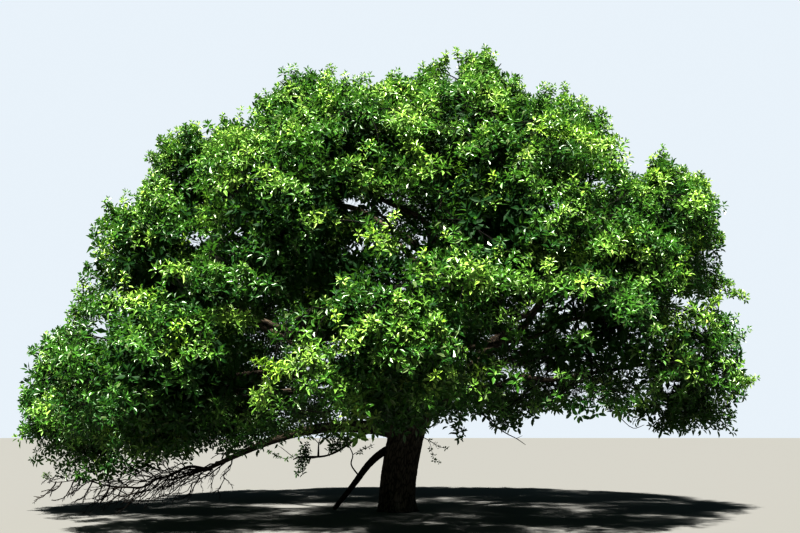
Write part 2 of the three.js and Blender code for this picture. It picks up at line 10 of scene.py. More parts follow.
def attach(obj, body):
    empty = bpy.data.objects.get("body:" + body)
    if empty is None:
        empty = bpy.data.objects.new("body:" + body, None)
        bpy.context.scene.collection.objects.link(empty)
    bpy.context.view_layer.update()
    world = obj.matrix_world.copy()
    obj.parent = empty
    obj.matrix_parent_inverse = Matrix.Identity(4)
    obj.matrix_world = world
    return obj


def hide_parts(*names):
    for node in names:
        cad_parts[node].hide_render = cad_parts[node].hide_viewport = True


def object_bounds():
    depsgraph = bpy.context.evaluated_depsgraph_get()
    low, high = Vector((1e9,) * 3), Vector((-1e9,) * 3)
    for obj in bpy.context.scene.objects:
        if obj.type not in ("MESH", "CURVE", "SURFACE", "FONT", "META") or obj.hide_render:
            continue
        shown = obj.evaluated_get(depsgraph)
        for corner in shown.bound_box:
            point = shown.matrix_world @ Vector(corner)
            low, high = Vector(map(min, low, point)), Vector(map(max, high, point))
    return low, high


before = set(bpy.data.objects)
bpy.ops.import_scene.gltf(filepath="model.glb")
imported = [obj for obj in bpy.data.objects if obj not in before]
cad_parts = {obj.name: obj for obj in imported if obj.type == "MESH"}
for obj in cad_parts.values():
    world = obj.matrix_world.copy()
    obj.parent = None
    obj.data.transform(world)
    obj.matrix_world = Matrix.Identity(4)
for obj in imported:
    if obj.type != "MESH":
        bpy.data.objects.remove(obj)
cad_low, cad_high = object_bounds()


def vec(x, y, z):
    return np.array([x, y, z], float)


UP = vec(0, 0, 1)
GOLDEN_ANGLE = math.pi * (3 - math.sqrt(5))
TINY = 1e-6
HEADING_STEP = 0.01  # the share of a path on both sides of a point that gives its heading there
DEAD_WOOD_SEED, LONE_SHOOT_SEED, ROSETTE_SEED, SPIN_SEED = 41, 43, 11, 5
PLATE_SEED = 17  # for the warp of the bark's plates, which would otherwise differ in each run

# The trunk
FORK_HEIGHT = 1.65
TRUNK_TOP = 1.88
TRUNK_RADIUS = 0.34
TRUNK_LEAN = 0.25
TRUNK_TOP_ROUNDING = 0.45
ROOT_FLARE = 0.2
ROOT_FLARE_HEIGHT = 0.15
ROOT_LOBES = 5
LOBE_DEPTH = 0.4  # share of the flare
LOBE_TURN = 0.6  # radians
RIBS = 0.03
RIB_COUNT = 3
RIB_TWIST = 0.9  # metres up the trunk to a radian

# The crown's rings of foliage masses, each reaching left, right, front and back of the trunk.
# A mass is a lumpy ellipsoid: "out" away from the trunk, "along" the ring, "up" in height.
TIERS = {
    "skirt": dict(
        count=8, turn=0, height=2.85, left_drop=0.8, right_rise=0, front_drop=0,
        left=5.65, right=5.25, front=4.85, back=5.0, out=1.75, along=2.15, up=1.4, twigs=7,
    ),
    "waist": dict(
        count=8, turn=22.5, height=4.7, left_drop=0.25, right_rise=0.65, front_drop=0.1,
        left=4.55, right=5.0, front=4.15, back=4.4, out=1.65, along=2.05, up=1.55, twigs=6,
    ),
    "shoulder": dict(
        count=6, turn=0, height=6.7, left_drop=0.15, right_rise=0.25, front_drop=0.5,
        left=3.6, right=2.8, front=2.9, back=3.05, out=1.7, along=1.85, up=1.35, twigs=5,
    ),
    "top": dict(
        count=4, turn=0, height=7.7, left_drop=0.1, right_rise=0.3, front_drop=0.7,
        left=1.75, right=1.5, front=1.5, back=1.5, out=1.45, along=1.55, up=1.2, twigs=5,
    ),
}
# How far some masses stand from their place in the ring
SHIFTS = {
    "skirt_2": (0, 0, 0.35),
    "skirt_5": (-0.1, 0, 0.25),
    "skirt_8": (-0.25, 0, 0.25),
    "waist_8": (-0.1, 0.3, 0.1),
    "shoulder_5": (0.45, 0, -0.15),
    "top_1": (0.2, 0, 0),
}
# Sprays given one by one, at the outline, along the underside and where the crown would be too thin
TUFTS = (
    (-7.05, -0.3, 3.05), (-7.1, -0.4, 1.5), (-6.3, 0, 3.75), (-5.75, -0.4, 5.55), (-4.65, 0, 7.2),
    (-4.0, -0.2, 7.3), (-2.25, -0.8, 8.25), (-1.45, -0.3, 8.35), (-0.15, 0, 8.3), (0.65, 0, 8.6),
    (1.55, 0, 8.7), (1.85, 0.1, 8.75), (5.2, 0.2, 6.85), (5.05, 0, 6.5), (5.45, 0.2, 6.45),
    (6.2, -0.2, 5.85), (6.65, 0, 2.4), (6.35, -0.2, 1.85), (1.0, -2.6, 1.85), (1.35, -2.4, 2.05),
    (1.7, -2.5, 1.8), (1.95, -2.2, 1.75), (1.7, -2.0, 2.15), (2.2, -2.6, 2.2), (2.45, -2.3, 2.1),
    (-6.7, -0.4, 1.15), (-6.25, -0.5, 0.95), (-5.85, -0.6, 0.85), (-5.45, -0.8, 0.8), (-5.1, -0.9, 0.85),
    (-4.7, -0.8, 1.05), (-4.3, -1.0, 1.1), (-5.7, -1.3, 1.0), (-5.0, -1.5, 1.05), (-4.0, -1.1, 1.25),
    (-3.7, -1.0, 1.15), (-3.4, -1.1, 1.3), (-3.1, -1.2, 1.35), (-2.8, -1.2, 1.45), (-2.5, -1.3, 1.6),
    (-2.1, -1.6, 1.65), (-1.8, -2.2, 1.7), (-1.4, -2.6, 1.75), (-1.1, -2.2, 1.8), (-1.7, -2.8, 1.95),
    (-2.2, -2.6, 1.85), (-2.6, -2.2, 1.8), (-1.3, -3.0, 2.05), (-0.9, -2.8, 1.95), (-3.0, -2.0, 1.75),
    (-1.1, -2.0, 2.2), (-1.6, -2.0, 2.4), (-2.1, -2.2, 2.3), (-1.3, -2.2, 2.7), (-0.8, -2.4, 2.5),
    (-5.5, -0.5, 0.85), (-5.0, -0.6, 0.9), (-4.5, -0.7, 1.0), (-3.9, -0.8, 1.05), (-3.4, -0.9, 1.1),
    (-2.95, -1.0, 1.22), (-2.5, -1.1, 1.35), (-4.75, 0, 6.8), (-6.0, -0.2, 4.55), (-6.05, 0, 4.25),
    (4.25, 0.2, 6.7), (5.2, 0.2, 7.0), (5.85, 0, 6.35), (6.3, 0, 5.15), (6.2, -0.1, 4.6),
    (6.15, -0.2, 1.75), (5.1, -0.5, 1.7), (1.05, -2.4, 1.62), (0.85, 0, 8.75), (-0.9, -0.2, 8.25),
    (3.95, 0, 7.6), (-1.35, -0.7, 1.5), (-1.0, -0.9, 1.55), (-1.7, -0.8, 1.55), (-1.0, 3.6, 2.3),
    (-1.9, 3.4, 2.5), (-0.2, 3.8, 2.6), (-2.6, 3.0, 2.2), (-1.4, 4.2, 3.0), (0.1, 2.2, 6.3),
    (0, 2.4, 5.6), (0.5, 2.3, 5.4), (-0.4, 2.2, 5.1), (-0.8, 2.5, 4.6), (0.3, 2.6, 4.7), (-0.2, 3.0, 5.9),
    (-3.4, 2.4, 3.2), (-3.0, 2.6, 2.7), (-2.5, 2.8, 3.6), (-5.5, 1.3, 4.9), (-5.2, 1.5, 4.4),
    (2.3, -2.0, 1.95), (1.9, -1.6, 2.0), (2.3, 1.8, 2.1), (1.6, 2.2, 2.3), (2.6, -1.4, 2.05),
    (3.0, -1.2, 2.1), (1.8, 1.0, 2.6), (2.3, 1.2, 2.9), (1.5, 1.4, 3.1), (2.0, 1.0, 3.3), (2.6, 0.8, 2.4),
    (1.3, 1.6, 2.7), (-1.6, 2.4, 2.9), (-2.2, 2.2, 2.6), (-2.8, 2.0, 3.3), (-1.9, 2.6, 3.4),
    (-3.3, -0.8, 1.35), (-2.9, -0.8, 1.5), (-3.7, -0.8, 1.25), (-2.4, -0.9, 1.6), (3.2, 0.1, 5.45),
    (3.3, 0.5, 5.75), (4.0, -0.3, 5.6), (-3.0, 0.2, 5.0), (3.6, 0.2, 5.1), (-4.4, 0.3, 4.6),
    (-5.85, -0.3, 3.95), (-5.6, -0.6, 3.85), (-2.8, 1.5, 3.6), (-2.6, 1.6, 3.9), (-3.0, 1.4, 3.4),
    (-2.7, 2.4, 3.7), (-2.5, 2.2, 3.3), (0, 2.0, 5.25), (-0.2, 2.2, 4.95), (0.25, 1.8, 5.0),
    (0.1, 3.0, 5.1), (-6.25, 0, 3.95), (-6.05, 0.1, 4.2), (-5.9, -0.2, 3.7), (-6.0, 0.3, 3.5),
    (2.2, -1.0, 2.3), (2.3, 0.5, 2.5), (6.4, -0.2, 2.2), (1.5, -1.5, 2.05), (2.2, 0, 8.1),
    (5.3, -0.1, 6.65), (-2.95, -1.0, 3.5), (-3.0, 1.0, 3.6), (-2.65, -0.3, 7.75), (2.27, -1.5, 2.15),
    (1.76, -1.5, 1.9), (1.43, -1.8, 2.1), (2.0, -1.0, 2.25), (2.05, -1.5, 1.8), (1.9, -1.9, 2.0),
    (3.6, -0.5, 2.3), (3.9, -0.5, 2.3), (5.4, -0.5, 1.75), (5.7, -0.4, 1.8), (5.1, -0.4, 1.68),
    (4.9, -0.5, 1.78), (6.0, 0, 4.6), (5.9, 0.3, 4.8), (6.1, -0.2, 4.45), (-6.1, 0.2, 4.0),
    (6.2, -0.2, 2.05), (6.1, 0.2, 1.95), (2.6, 0, 8.15), (5.2, 0, 2.35), (-2.2, 2.0, 2.1),
    (-1.8, 2.2, 2.1), (-1.45, 2.0, 2.15), (-2.6, 2.2, 2.1), (-1.9, 2.8, 2.0),
)
# Sprays that stand out of the front and catch the light, their greens painted brighter as painted light
FRONT_TUFTS = (
    (-0.5, -6.25, 2.95), (0, -6.3, 3.0), (0.45, -6.3, 2.95), (-0.2, -6.3, 2.85), (0.3, -6.35, 2.8),
    (0.6, -6.2, 2.8), (-0.7, -6.2, 2.8), (0.1, -6.3, 2.6), (0.75, -6.05, 3.62), (1.2, -6.1, 3.62),
    (1.7, -6.05, 3.65), (2.2, -5.85, 3.68), (2.7, -5.6, 3.75), (-1.3, -6.0, 2.65), (-1.7, -5.85, 2.4),
    (-1.1, -6.1, 2.35), (-1.9, -5.65, 2.1), (0.45, -6.1, 2.2), (0.7, -5.9, 2.3), (0.3, -6.1, 2.05),
    (0.2, -3.0, 6.9), (0.3, -3.2, 6.5), (0.15, -3.15, 6.65), (-0.1, -3.1, 6.75), (-0.4, -3.9, 5.55),
    (3.7, -3.5, 4.9), (2.5, -4.3, 4.3), (2.2, -4.4, 4.35), (2.8, -4.2, 4.35), (0.85, -5.0, 4.25),
    (1.5, -5.0, 3.95), (5.4, -1.0, 5.9), (5.2, -1.4, 5.6), (5.75, -0.8, 5.95), (5.6, -0.9, 6.1),
    (5.9, -0.5, 5.8), (-0.6, -4.3, 5.75), (-0.15, -5.4, 4.35), (-3.2, -5.2, 2.8), (-3.6, -5.0, 2.75),
    (-2.8, -5.3, 2.8), (-5.4, -2.6, 2.2), (-0.5, -5.5, 1.75), (-0.34, -2.6, 7.0), (-0.1, -2.6, 7.15),
    (-0.7, -2.5, 6.95), (-1.58, -3.6, 5.55), (-0.6, -3.9, 5.5), (3.55, -3.0, 3.85), (3.86, -2.5, 4.92),
    (5.82, -0.7, 5.3), (-0.54, -3.0, 6.8), (-0.3, -3.0, 6.85), (-0.8, -3.0, 6.8), (5.0, -1.2, 5.85),
    (4.8, -1.0, 6.0), (3.5, -2.7, 5.0), (3.7, -2.4, 5.1),
)
# Painted light: the greens of the front tufts are painted this much brighter
TUFT_LIGHT = 0.65
FULLY_LIT = 0.6  # from here on a spray has the greens of full sun
TUFT_SIZE = 0.8
TUFT_SLACK = 0.5  # how far a tuft may pass the plane between two masses
ROOM = 0.1  # how far beyond the solids' box a shoot may end

# The front of the crown as seen from the viewpoint, on the plane of the trunk:
# X and Z of the middle of each feature, and half its width and height.
# Leafy shelves stand out and catch the light, their greens painted brighter as painted light, and the crown
# is hollow between them, its greens painted deeper as painted shade.
SHELVES = (
    (0.15, 3.6, 1.2, 0.6), (-2.0, 2.7, 0.95, 0.55), (-2.2, 2.0, 0.9, 0.3), (1.1, 4.75, 0.7, 0.4),
    (2.1, 4.55, 0.8, 0.3), (3.5, 4.35, 0.5, 0.25), (-0.15, 5.3, 0.35, 0.25), (-0.75, 6.7, 0.5, 0.4),
    (-2.4, 6.5, 0.4, 0.3), (0.1, 7.6, 0.55, 0.65), (1.5, 8.2, 0.6, 0.5), (4.2, 5.5, 0.8, 0.4),
    (3.2, 5.1, 0.7, 0.35), (4.8, 6.0, 0.7, 0.5), (5.7, 6.2, 0.5, 0.4), (5.0, 5.2, 0.4, 0.3),
    (-4.2, 4.5, 0.45, 0.22), (-4.5, 3.35, 0.85, 0.35), (-4.1, 3.1, 0.6, 0.25), (-6.5, 2.0, 0.8, 0.3),
    (-6.1, 3.2, 0.6, 0.3), (-3.05, 3.75, 0.25, 0.3), (4.4, 4.1, 0.6, 0.35), (3.3, 7.4, 0.8, 0.4),
    (-3.4, 7.1, 0.6, 0.3), (-1.7, 7.5, 0.6, 0.25), (-1.8, 7.1, 0.3, 0.25), (1.8, 7.4, 0.7, 0.25),
    (3.2, 4.45, 0.7, 0.25), (1.5, 4.5, 0.6, 0.25), (-0.6, 6.4, 0.35, 0.3), (0.5, 3.45, 0.5, 0.3),
    (-2.6, 2.5, 0.6, 0.4), (-1.7, 6.95, 0.35, 0.25), (-1.9, 6.3, 0.3, 0.25), (0.6, 2.5, 0.3, 0.25),
)
HOLLOWS = (
    (-3.7, 1.9, 1.2, 0.65), (1.5, 3.4, 0.6, 0.6), (-0.3, 4.5, 0.75, 0.3), (2.35, 5.55, 0.7, 0.42),
    (1.3, 6.6, 1.2, 0.42), (-5.3, 4.15, 0.6, 0.25), (-3.6, 3.8, 0.38, 0.25), (0.3, 2.5, 0.4, 0.3),
    (-2.1, 4.65, 0.6, 0.3), (4.5, 4.8, 0.5, 0.25), (-1.9, 1.7, 0.4, 0.12), (-2.9, 4.6, 0.35, 0.3),
    (-2.5, 3.35, 0.65, 0.42), (-6.1, 4.2, 0.35, 0.3), (-4.8, 2.45, 0.5, 0.3), (-3.6, 5.65, 0.9, 0.45),
    (0.2, 5.6, 0.5, 0.4), (-1.55, 3.7, 0.5, 0.45), (2.5, 3.8, 0.5, 0.5), (-5.5, 5.4, 0.6, 0.3),
    (-3.0, 2.3, 0.4, 0.35), (0.25, 4.7, 0.35, 0.25), (1.8, 5.35, 0.7, 0.3), (-6.6, 2.65, 0.4, 0.22),
    (-1.1, 6.3, 0.5, 0.2), (3.0, 6.6, 0.6, 0.3), (1.1, 7.35, 0.45, 0.2), (-0.5, 4.25, 0.4, 0.2),
    (1.45, 5.95, 0.4, 0.25), (2.7, 6.05, 0.5, 0.25), (-3.1, 6.5, 0.4, 0.25), (4.25, 6.4, 0.3, 0.2),
    (-0.5, 7.15, 0.35, 0.18), (0.85, 7.85, 0.3, 0.2), (5.3, 4.7, 0.35, 0.2), (3.0, 5.8, 0.45, 0.25),
    (-1.75, 5.45, 0.35, 0.25),
)
SHELF_OUT = -0.8  # how far a shelf's tips stand out and a hollow's in, as shares of the hollows' usual depth
HOLLOW_IN = 1.7
# Painted light and shade: the greens of a shelf are painted brighter, and those of a hollow deeper
SHELF_LIGHT = 0.55  # how much brighter the greens of a shelf are, and how much deeper those of a hollow
HOLLOW_SHADE = 0.95
OUTLINE_SHARE = 0.93  # how deep in the crown a shoot has to end, where the crown's outline is 1
SHELF_SHARE = 0.55  # and on a shelf

# Where the crown is thin enough for specks of sky
THIN_PLACES = (
    (3.9, 2.85, 1.4, 0.9), (3.4, 2.5, 0.9, 0.35), (4.5, 2.35, 1.0, 0.4), (-3.95, 5.3, 0.3, 0.2),
    (5.6, 4.05, 0.5, 0.15),
)
PARTLY_THIN = (
    (5.5, 2.9, 1.0, 1.0), (2.7, 2.6, 0.7, 0.5), (3.3, 4.0, 0.7, 0.2),
)
# The share of the shoots that is missing in a thin place, between the specks and in their lines of sight
MISSING_IN_THIN = (0.66, 0.97)
MISSING_IN_PARTLY_THIN = (0.2, 0.85)
SPECKS = 5.5  # to a metre
SPECK_LEVEL = 0.05

# Where the sky shows through, and where it bites into the outline
SKY_GAPS = (
    (-0.87, 5.97, 0.4, 0.22), (-0.8, 5.08, 0.24, 0.14), (-5.8, 3.4, 0.15, 0.2), (4.87, 6.85, 0.22, 0.4),
    (-4.05, 5.2, 0.22, 0.14), (5.75, 4.14, 0.4, 0.1), (3.3, 3.8, 0.12, 0.08), (-3.15, 8.2, 0.4, 0.25),
    (-2.65, 8.55, 0.3, 0.2), (0.25, 8.8, 0.25, 0.25), (1.13, 8.8, 0.13, 0.38), (2.45, 8.95, 0.5, 0.3),
    (3.05, 8.7, 0.35, 0.22), (4.5, 7.65, 0.2, 0.2), (5.83, 6.95, 0.27, 0.33), (5.57, 6.45, 0.1, 0.15),
    (6.45, 6.45, 0.2, 0.3), (6.5, 5.75, 0.15, 0.12), (6.45, 3.95, 0.35, 0.1), (6.9, 2.9, 0.2, 0.3),
    (6.85, 2.0, 0.2, 0.2), (5.18, 1.95, 0.15, 0.08), (1.08, 1.82, 0.12, 0.08), (-7.38, 3.1, 0.14, 0.35),
    (-7.6, 1.9, 0.33, 0.8), (-7.2, 1.15, 0.25, 0.25), (-6.73, 3.66, 0.25, 0.18), (-6.3, 4.85, 0.15, 0.15),
    (-5.3, 6.3, 0.15, 0.12), (-5.14, 6.63, 0.2, 0.15), (-3.88, 7.38, 0.12, 0.14), (-3.3, 7.78, 0.15, 0.1),
    (-4.8, 7.6, 0.2, 0.15),
)
VIEWPOINT = vec(0.06, -20, 1.6)  # of the camera
FRONT_LIMIT = 0.5  # the Y that the shelves and hollows reach back to
# Where the leaves leave a view of the limbs inside, and how far back the view goes
CLEARINGS = (
    (-0.29, 4.5, 0.3, 0.16), (-0.7, 4.62, 0.3, 0.16), (-1.1, 4.9, 0.25, 0.2), (-1.4, 5.25, 0.15, 0.25),
    (-0.35, 5.8, 0.25, 0.2), (3.0, 3.55, 0.45, 0.15),
)
CLEARING_BACK = -2.9
# Where the crown is so deep that no light comes through; extra leaves in the inner green, partly painted
# shade, are heaped there
DENSE_PLACES = (
    (0.1, 4.9, 0.4, 0.35), (-0.4, 4.8, 0.4, 0.2), (-2.85, 3.6, 0.4, 0.45), (-0.2, 5.8, 0.25, 0.2),
)
DENSE_LEAVES = 4  # inner rosettes there in place of one

CROWN_SEED = 500
BOUGH_SEED = 7  # added to that of the mass
LUMPS = 0.09
LUMP_WAVES = (3.1, 2.3, 2.7, 3.7)  # of the two sets of lumps: in X and Y, and in Y and Z
USUAL_MASS = 1.5  # the size of a mass with clumps of the full size
FLATNESS = 1.3
MASS_GAP = 0.012
GROUND_GAP = 0.06
LIMB_GAP = 0.045

# The limbs
MAIN_LIMB_RADIUS = 0.165
LEADER_RADIUS = 0.19
BOUGH_RADIUS = 0.088
SHOULDER_RADIUS = 0.08
TOP_RADIUS = 0.058
TIP_RADIUS = 0.034
MAIN_TIP_RADIUS = 0.042
FIRST_BOUGH = 0.2
BOUGH_SPACING = 0.12
FIRST_SHOULDER = 0.34
SHOULDER_SPACING = 0.075
FIRST_TOP = 0.78
TOP_SPACING = 0.06
COLLAR = 0.35
COLLAR_REACH = 1.6  # times the radius at the root
TAPER = 0.85
MAIN_LIMB_RISE = 0.75
SKIRT_RISE = 0.05
WAIST_RISE = 0.5
SHOULDER_RISE = 0.8
TOP_RISE = 1.2
LEADER_RISE = 4
FORK_STAGGER = 0.09
BELOW_FORK = 0.06
ALONG_PARENT = 0.6
LEVEL_ARRIVAL = 0.5
BEND_AT_ROOT = 0.38
BEND_AT_TIP = 0.34
LIMB_BENDS = 6
LIMB_WANDER = 0.035
ENTRY_SHARE = 0.76
STEM_SHARE = 0.95  # of the thickness of the limb's tip
BALLS_PER_LIMB = 40
TRUNK_BALLS = 16

# The limbs that the photo shows: the control points of their curves, and how thick they are
LOW_LIMB_ROUTE = np.array([(0.06, 0, 1.5), (-1.5, -0.15, 1.78), (-2.3, -0.4, 1.4), (-3.59, -0.55, 0.78)])
LOW_LIMB_RADIUS = 0.15
LOW_LIMB_TIP = 0.033
HANGING_ROUTE = np.array([
    (-0.52, -0.03, 1.5), (-0.76, -0.35, 1.44), (-0.98, -0.56, 1.15), (-1.29, -0.61, 1.06),
])
HANGING_RADIUS = 0.042
HANGING_TIP = 0.016
PROP_UPPER_ROUTE = np.array([
    (0.04, -0.06, 1.2), (-0.18, -0.08, 1.2), (-0.42, -0.1, 1.04), (-0.64, -0.12, 0.75),
])
PROP_LOWER_ROUTE = np.array([(-0.74, -0.13, 0.6), (-0.86, -0.14, 0.45), (-1.18, -0.16, 0.055)])
PROP_RADIUS = 0.084
PROP_TIP = 0.044
PROP_COLLAR = 0.15

# Twigs
TWIG_RADIUS = 0.02
TWIG_TIP = 0.009
TWIG_ARCH = 0.12
STEM_TIP = 0.022
STEM_PULL = 0.3
STEM_BEYOND = 0.35
TWIG_STARTS = (0.92, 0.35)
TWIG_REACHES = (0.72, 0.66, 0.6, 0.52)
BARE_TWIG_REACHES = (0.97, 0.85, 0.7, 0.55)
FORWARD_TWIG = 0.93
BACKWARD_TWIG = -0.55

# Branchlets carry the source's rule on: their tips are spread evenly over a mass's outline,
# and each ends in a clump of leafy shoots that turn up to the light.
BRANCHLET_SPACING = 0.54  # between the tips of neighbouring branchlets on an outline
BRANCHLET_STRAY = 0.06
BRANCHLET_SITES = np.linspace(0.3, 1, 10)  # along a twig
DISTANCE_COST, EASE_GAIN = 1.35, 0.35  # a branchlet leaves a near twig that points its way
BRANCHLET_BEND = 0.5
BRANCHLET_FOLLOW = 0.5
BRANCHLET_ARCH = 0.06
GAP_CHECKS = (0.45, 0.6, 0.75, 0.9)  # where along a branchlet it may not cross a gap
OUTLINE_STEPS = np.arange(1.4, 0.45, -0.05)
BLEND = 1.6  # how softly neighbouring masses blend into one crown
CLUMP_MARGIN = 0.2  # from a branchlet's tip to the crown's outline
MARGIN_STRAY = 0.08
PULL_BACK = 0.05
TIP_CLEARANCE = 0.2
CROWN_MIDDLE = vec(0, 0, 3.0)
FACING_OUT = -0.15  # least cosine between a branchlet and the way out of the crown
CLUMP_SPAN = vec(1.3, 1.3, 0.8)  # from clump to clump, across and in height
HOLLOW_DEPTH = 0.55  # between clumps
HOLLOW_LEVEL = 0.45
HOLLOW_CONTRAST = 1.3
SHAPE_FIRMNESS = 1.4  # how soon a shelf or hollow takes over from the clumps
DEEP_HOLLOW = 0.8
MISSING_IN_DEEP = 0.5  # share of the branchlets there
BRANCHLET_RADIUS = 0.007
INNER_SHARE = 0.4  # the share of branchlets kept where a mass faces another mass or the trunk
SPACE_SLACK = 0.12  # how far a branchlet may pass the plane between two masses
CLUMP_RADIUS = 0.36
CLUMP_RADII = (0.7, 1.25)  # least and most, as shares of it
CLUMP_OUTWARD, CLUMP_UPWARD, CLUMP_STRAY = 0.45, 0.7, 0.14  # how its axis leans out, up and at random
CLUMP_DOME = 0.45
SHOOTS_PER_CLUMP = 11
SHELF_SHOOTS = 0.5  # this share more on a shelf
SHOOT_RADIUS = 0.0035
TIP_WELD = 0.0002  # joins the ring at a twig's pointed tip
SHOOT_STRAY = 0.06
SHOOT_ROOTS = (1.0, 0.45)  # along the branchlet, of a clump's middle and outer shoots
SHOOT_ROOT_STRAY = 0.1
SHOOT_SPLAY, SHOOT_AIM_STRAY = 0.85, 0.18
SHOOT_SIZES = (0.8, 1.15)
SHOOT_CLEARANCE = 0.1
SHOOT_SLACK = 0.1
# The lower leaves of a clump are painted a deeper green, as painted shade under its top
LOWER_RING = 0.75  # from here out the leaves of a clump hang lower and are a deeper green

# Longer shoots that stand out of a clump, each with two rosettes
MOST_LEADERS = 2
LEADER_OUTWARD, LEADER_STRAY = 0.5, 0.25
LEADER_REACH = (0.22, 0.38)
LEADER_SHARE = 0.75  # how deep in the crown it has to end
LEADER_MIDDLE = 0.6
LEADER_SIZES = (0.95, 0.85)  # of its middle and top rosette

SIDE_ROSETTES = 2  # along each branchlet
SIDE_PLACES = (0.3, 0.85)
SIDE_STRAY = 0.8
SIDE_REACH = 0.16
SIDE_SIZE = 1.1
SIDE_SHARE = 0.9  # how deep in the crown it has to end
SIDE_SUMMER = 0.4  # this share are summer green and the others deep
INNER_ROSETTES = 400  # in a mass of the size below
INNER_MASS = 1.6
INNER_REACH = (0.1, 0.8)
INNER_SIZE = 1.6
INNER_SIZES = (0.85, 1.15)  # least and most, as shares of it
INNER_LIFT, INNER_STRAY = 0.5, 0.4
DENSE_STRAY = 0.1  # between the inner rosettes in a dense place
PIECE_TRIANGLES = 180_000  # the most in one piece of leaves

# Shoots that show one by one: each as its thickness at the root, and the points that it passes
LEAFY_SHOOTS = (
    (0.007, (-1.25, -0.6, 1.07), (-1.64, -0.61, 1.01), (-1.77, -0.6, 1.09), (-2.07, -0.62, 1.0),
     (-2.27, -0.63, 1.08), (-2.4, -0.64, 1.15)),
    (0.007, (0.45, -0.1, 1.42), (0.66, -0.16, 1.3), (0.82, -0.2, 1.21), (0.95, -0.22, 1.18)),
    (0.005, (0.6, -0.15, 1.33), (0.64, -0.17, 1.25), (0.71, -0.18, 0.98), (0.82, -0.2, 0.92)),
    (0.007, (-0.84, -0.13, 1.06), (-0.77, -0.12, 1.1), (-0.59, -0.11, 1.19), (-0.43, -0.1, 1.25)),
)
BARE_SHOOTS = (
    (0.014, (-0.72, -0.12, 0.66), (-0.87, -0.14, 0.88), (-0.84, -0.13, 1.06), (-0.98, -0.12, 1.33),
     (-1.05, -0.1, 1.5)),
    (0.006, (-1.95, -0.62, 1.05), (-2.15, -0.6, 1.2), (-2.22, -0.58, 1.24)),
    (0.012, (1.4, -1.3, 1.95), (1.79, -1.5, 1.58), (1.97, -1.5, 1.46), (2.13, -1.5, 1.38),
     (2.29, -1.52, 1.27)),
    (0.006, (1.9, -1.5, 1.5), (1.99, -1.52, 1.66)),
    (0.005, (2.13, -1.5, 1.38), (2.24, -1.5, 1.43)),
    (0.01, (3.4, -1.0, 2.35), (3.76, -1.0, 2.04), (4.04, -1.02, 1.8), (4.32, -1.05, 1.56),
     (4.52, -1.05, 1.62)),
    (0.008, (5.2, -0.8, 2.0), (5.05, -0.85, 1.68), (4.85, -0.9, 1.55)),
)
# The limbs in the clearings: the radius at both ends, then the points that each passes
INNER_LIMBS = (
    (0.075, 0.03, (0.2, -0.3, 1.8), (0.15, -1.5, 3.0), (0.0, -2.6, 3.78), (-0.24, -3.0, 4.05),
     (-0.55, -3.05, 4.2), (-0.8, -3.1, 4.27), (-1.06, -3.1, 4.53), (-1.2, -3.1, 4.75),
     (-1.3, -3.05, 5.1)),
    (0.035, 0.015, (-0.62, -3.05, 4.22), (-0.64, -3.0, 4.35), (-0.54, -3.0, 4.53), (-0.41, -2.9, 4.68)),
    (0.05, 0.02, (0.05, -0.9, 3.4), (0, -2.2, 4.4), (-0.14, -3.0, 5.01), (-0.28, -3.05, 5.12),
     (-0.43, -3.1, 5.28), (-0.65, -3.1, 5.6)),
    (0.065, 0.025, (0.5, -0.4, 2.2), (1.1, -1.5, 2.9), (1.75, -2.4, 3.0), (2.38, -2.95, 3.1),
     (2.75, -3.0, 3.3), (3.3, -2.95, 3.42)),
)
BARE_TAPER = 0.35  # the tip's share of the root's thickness
CURVE_STEPS = 4
LONE_START, LONE_SPACING = 0.35, 0.11  # of the leaves along a leafy shoot
LONE_STRAY, LONE_LIFT = 0.7, 0.4
LONE_SIZES = (0.35, 0.6)

# The leaves of the hanging shoot: round it, and down from its tip
HANGING_START = 0.5
HANGING_ROSETTES = 26
HANGING_ROOM = ((-0.15, -0.15, 0.03), (0.15, 0.15, 0.24))
HANGING_STRAY = 0.5
HANGING_SIZES = (0.6, 0.9)
HANGING_DEEPER = 0.7  # from here on the leaves are a deeper green
FALLING_ROSETTES = 22
FALL_TOP, FALL_FOOT = vec(-1.62, -0.62, 1.2), vec(-1.8, -0.62, 0.78)
FALL_SPREAD, FALL_STRAY, FALL_DROP = 0.06, 0.6, 0.2
FALL_SIZES = (0.5, 0.7)
LAST_LEAVES = 5  # at the end of the dead bough
LAST_SPREAD, LAST_SIZE = 0.03, 0.5

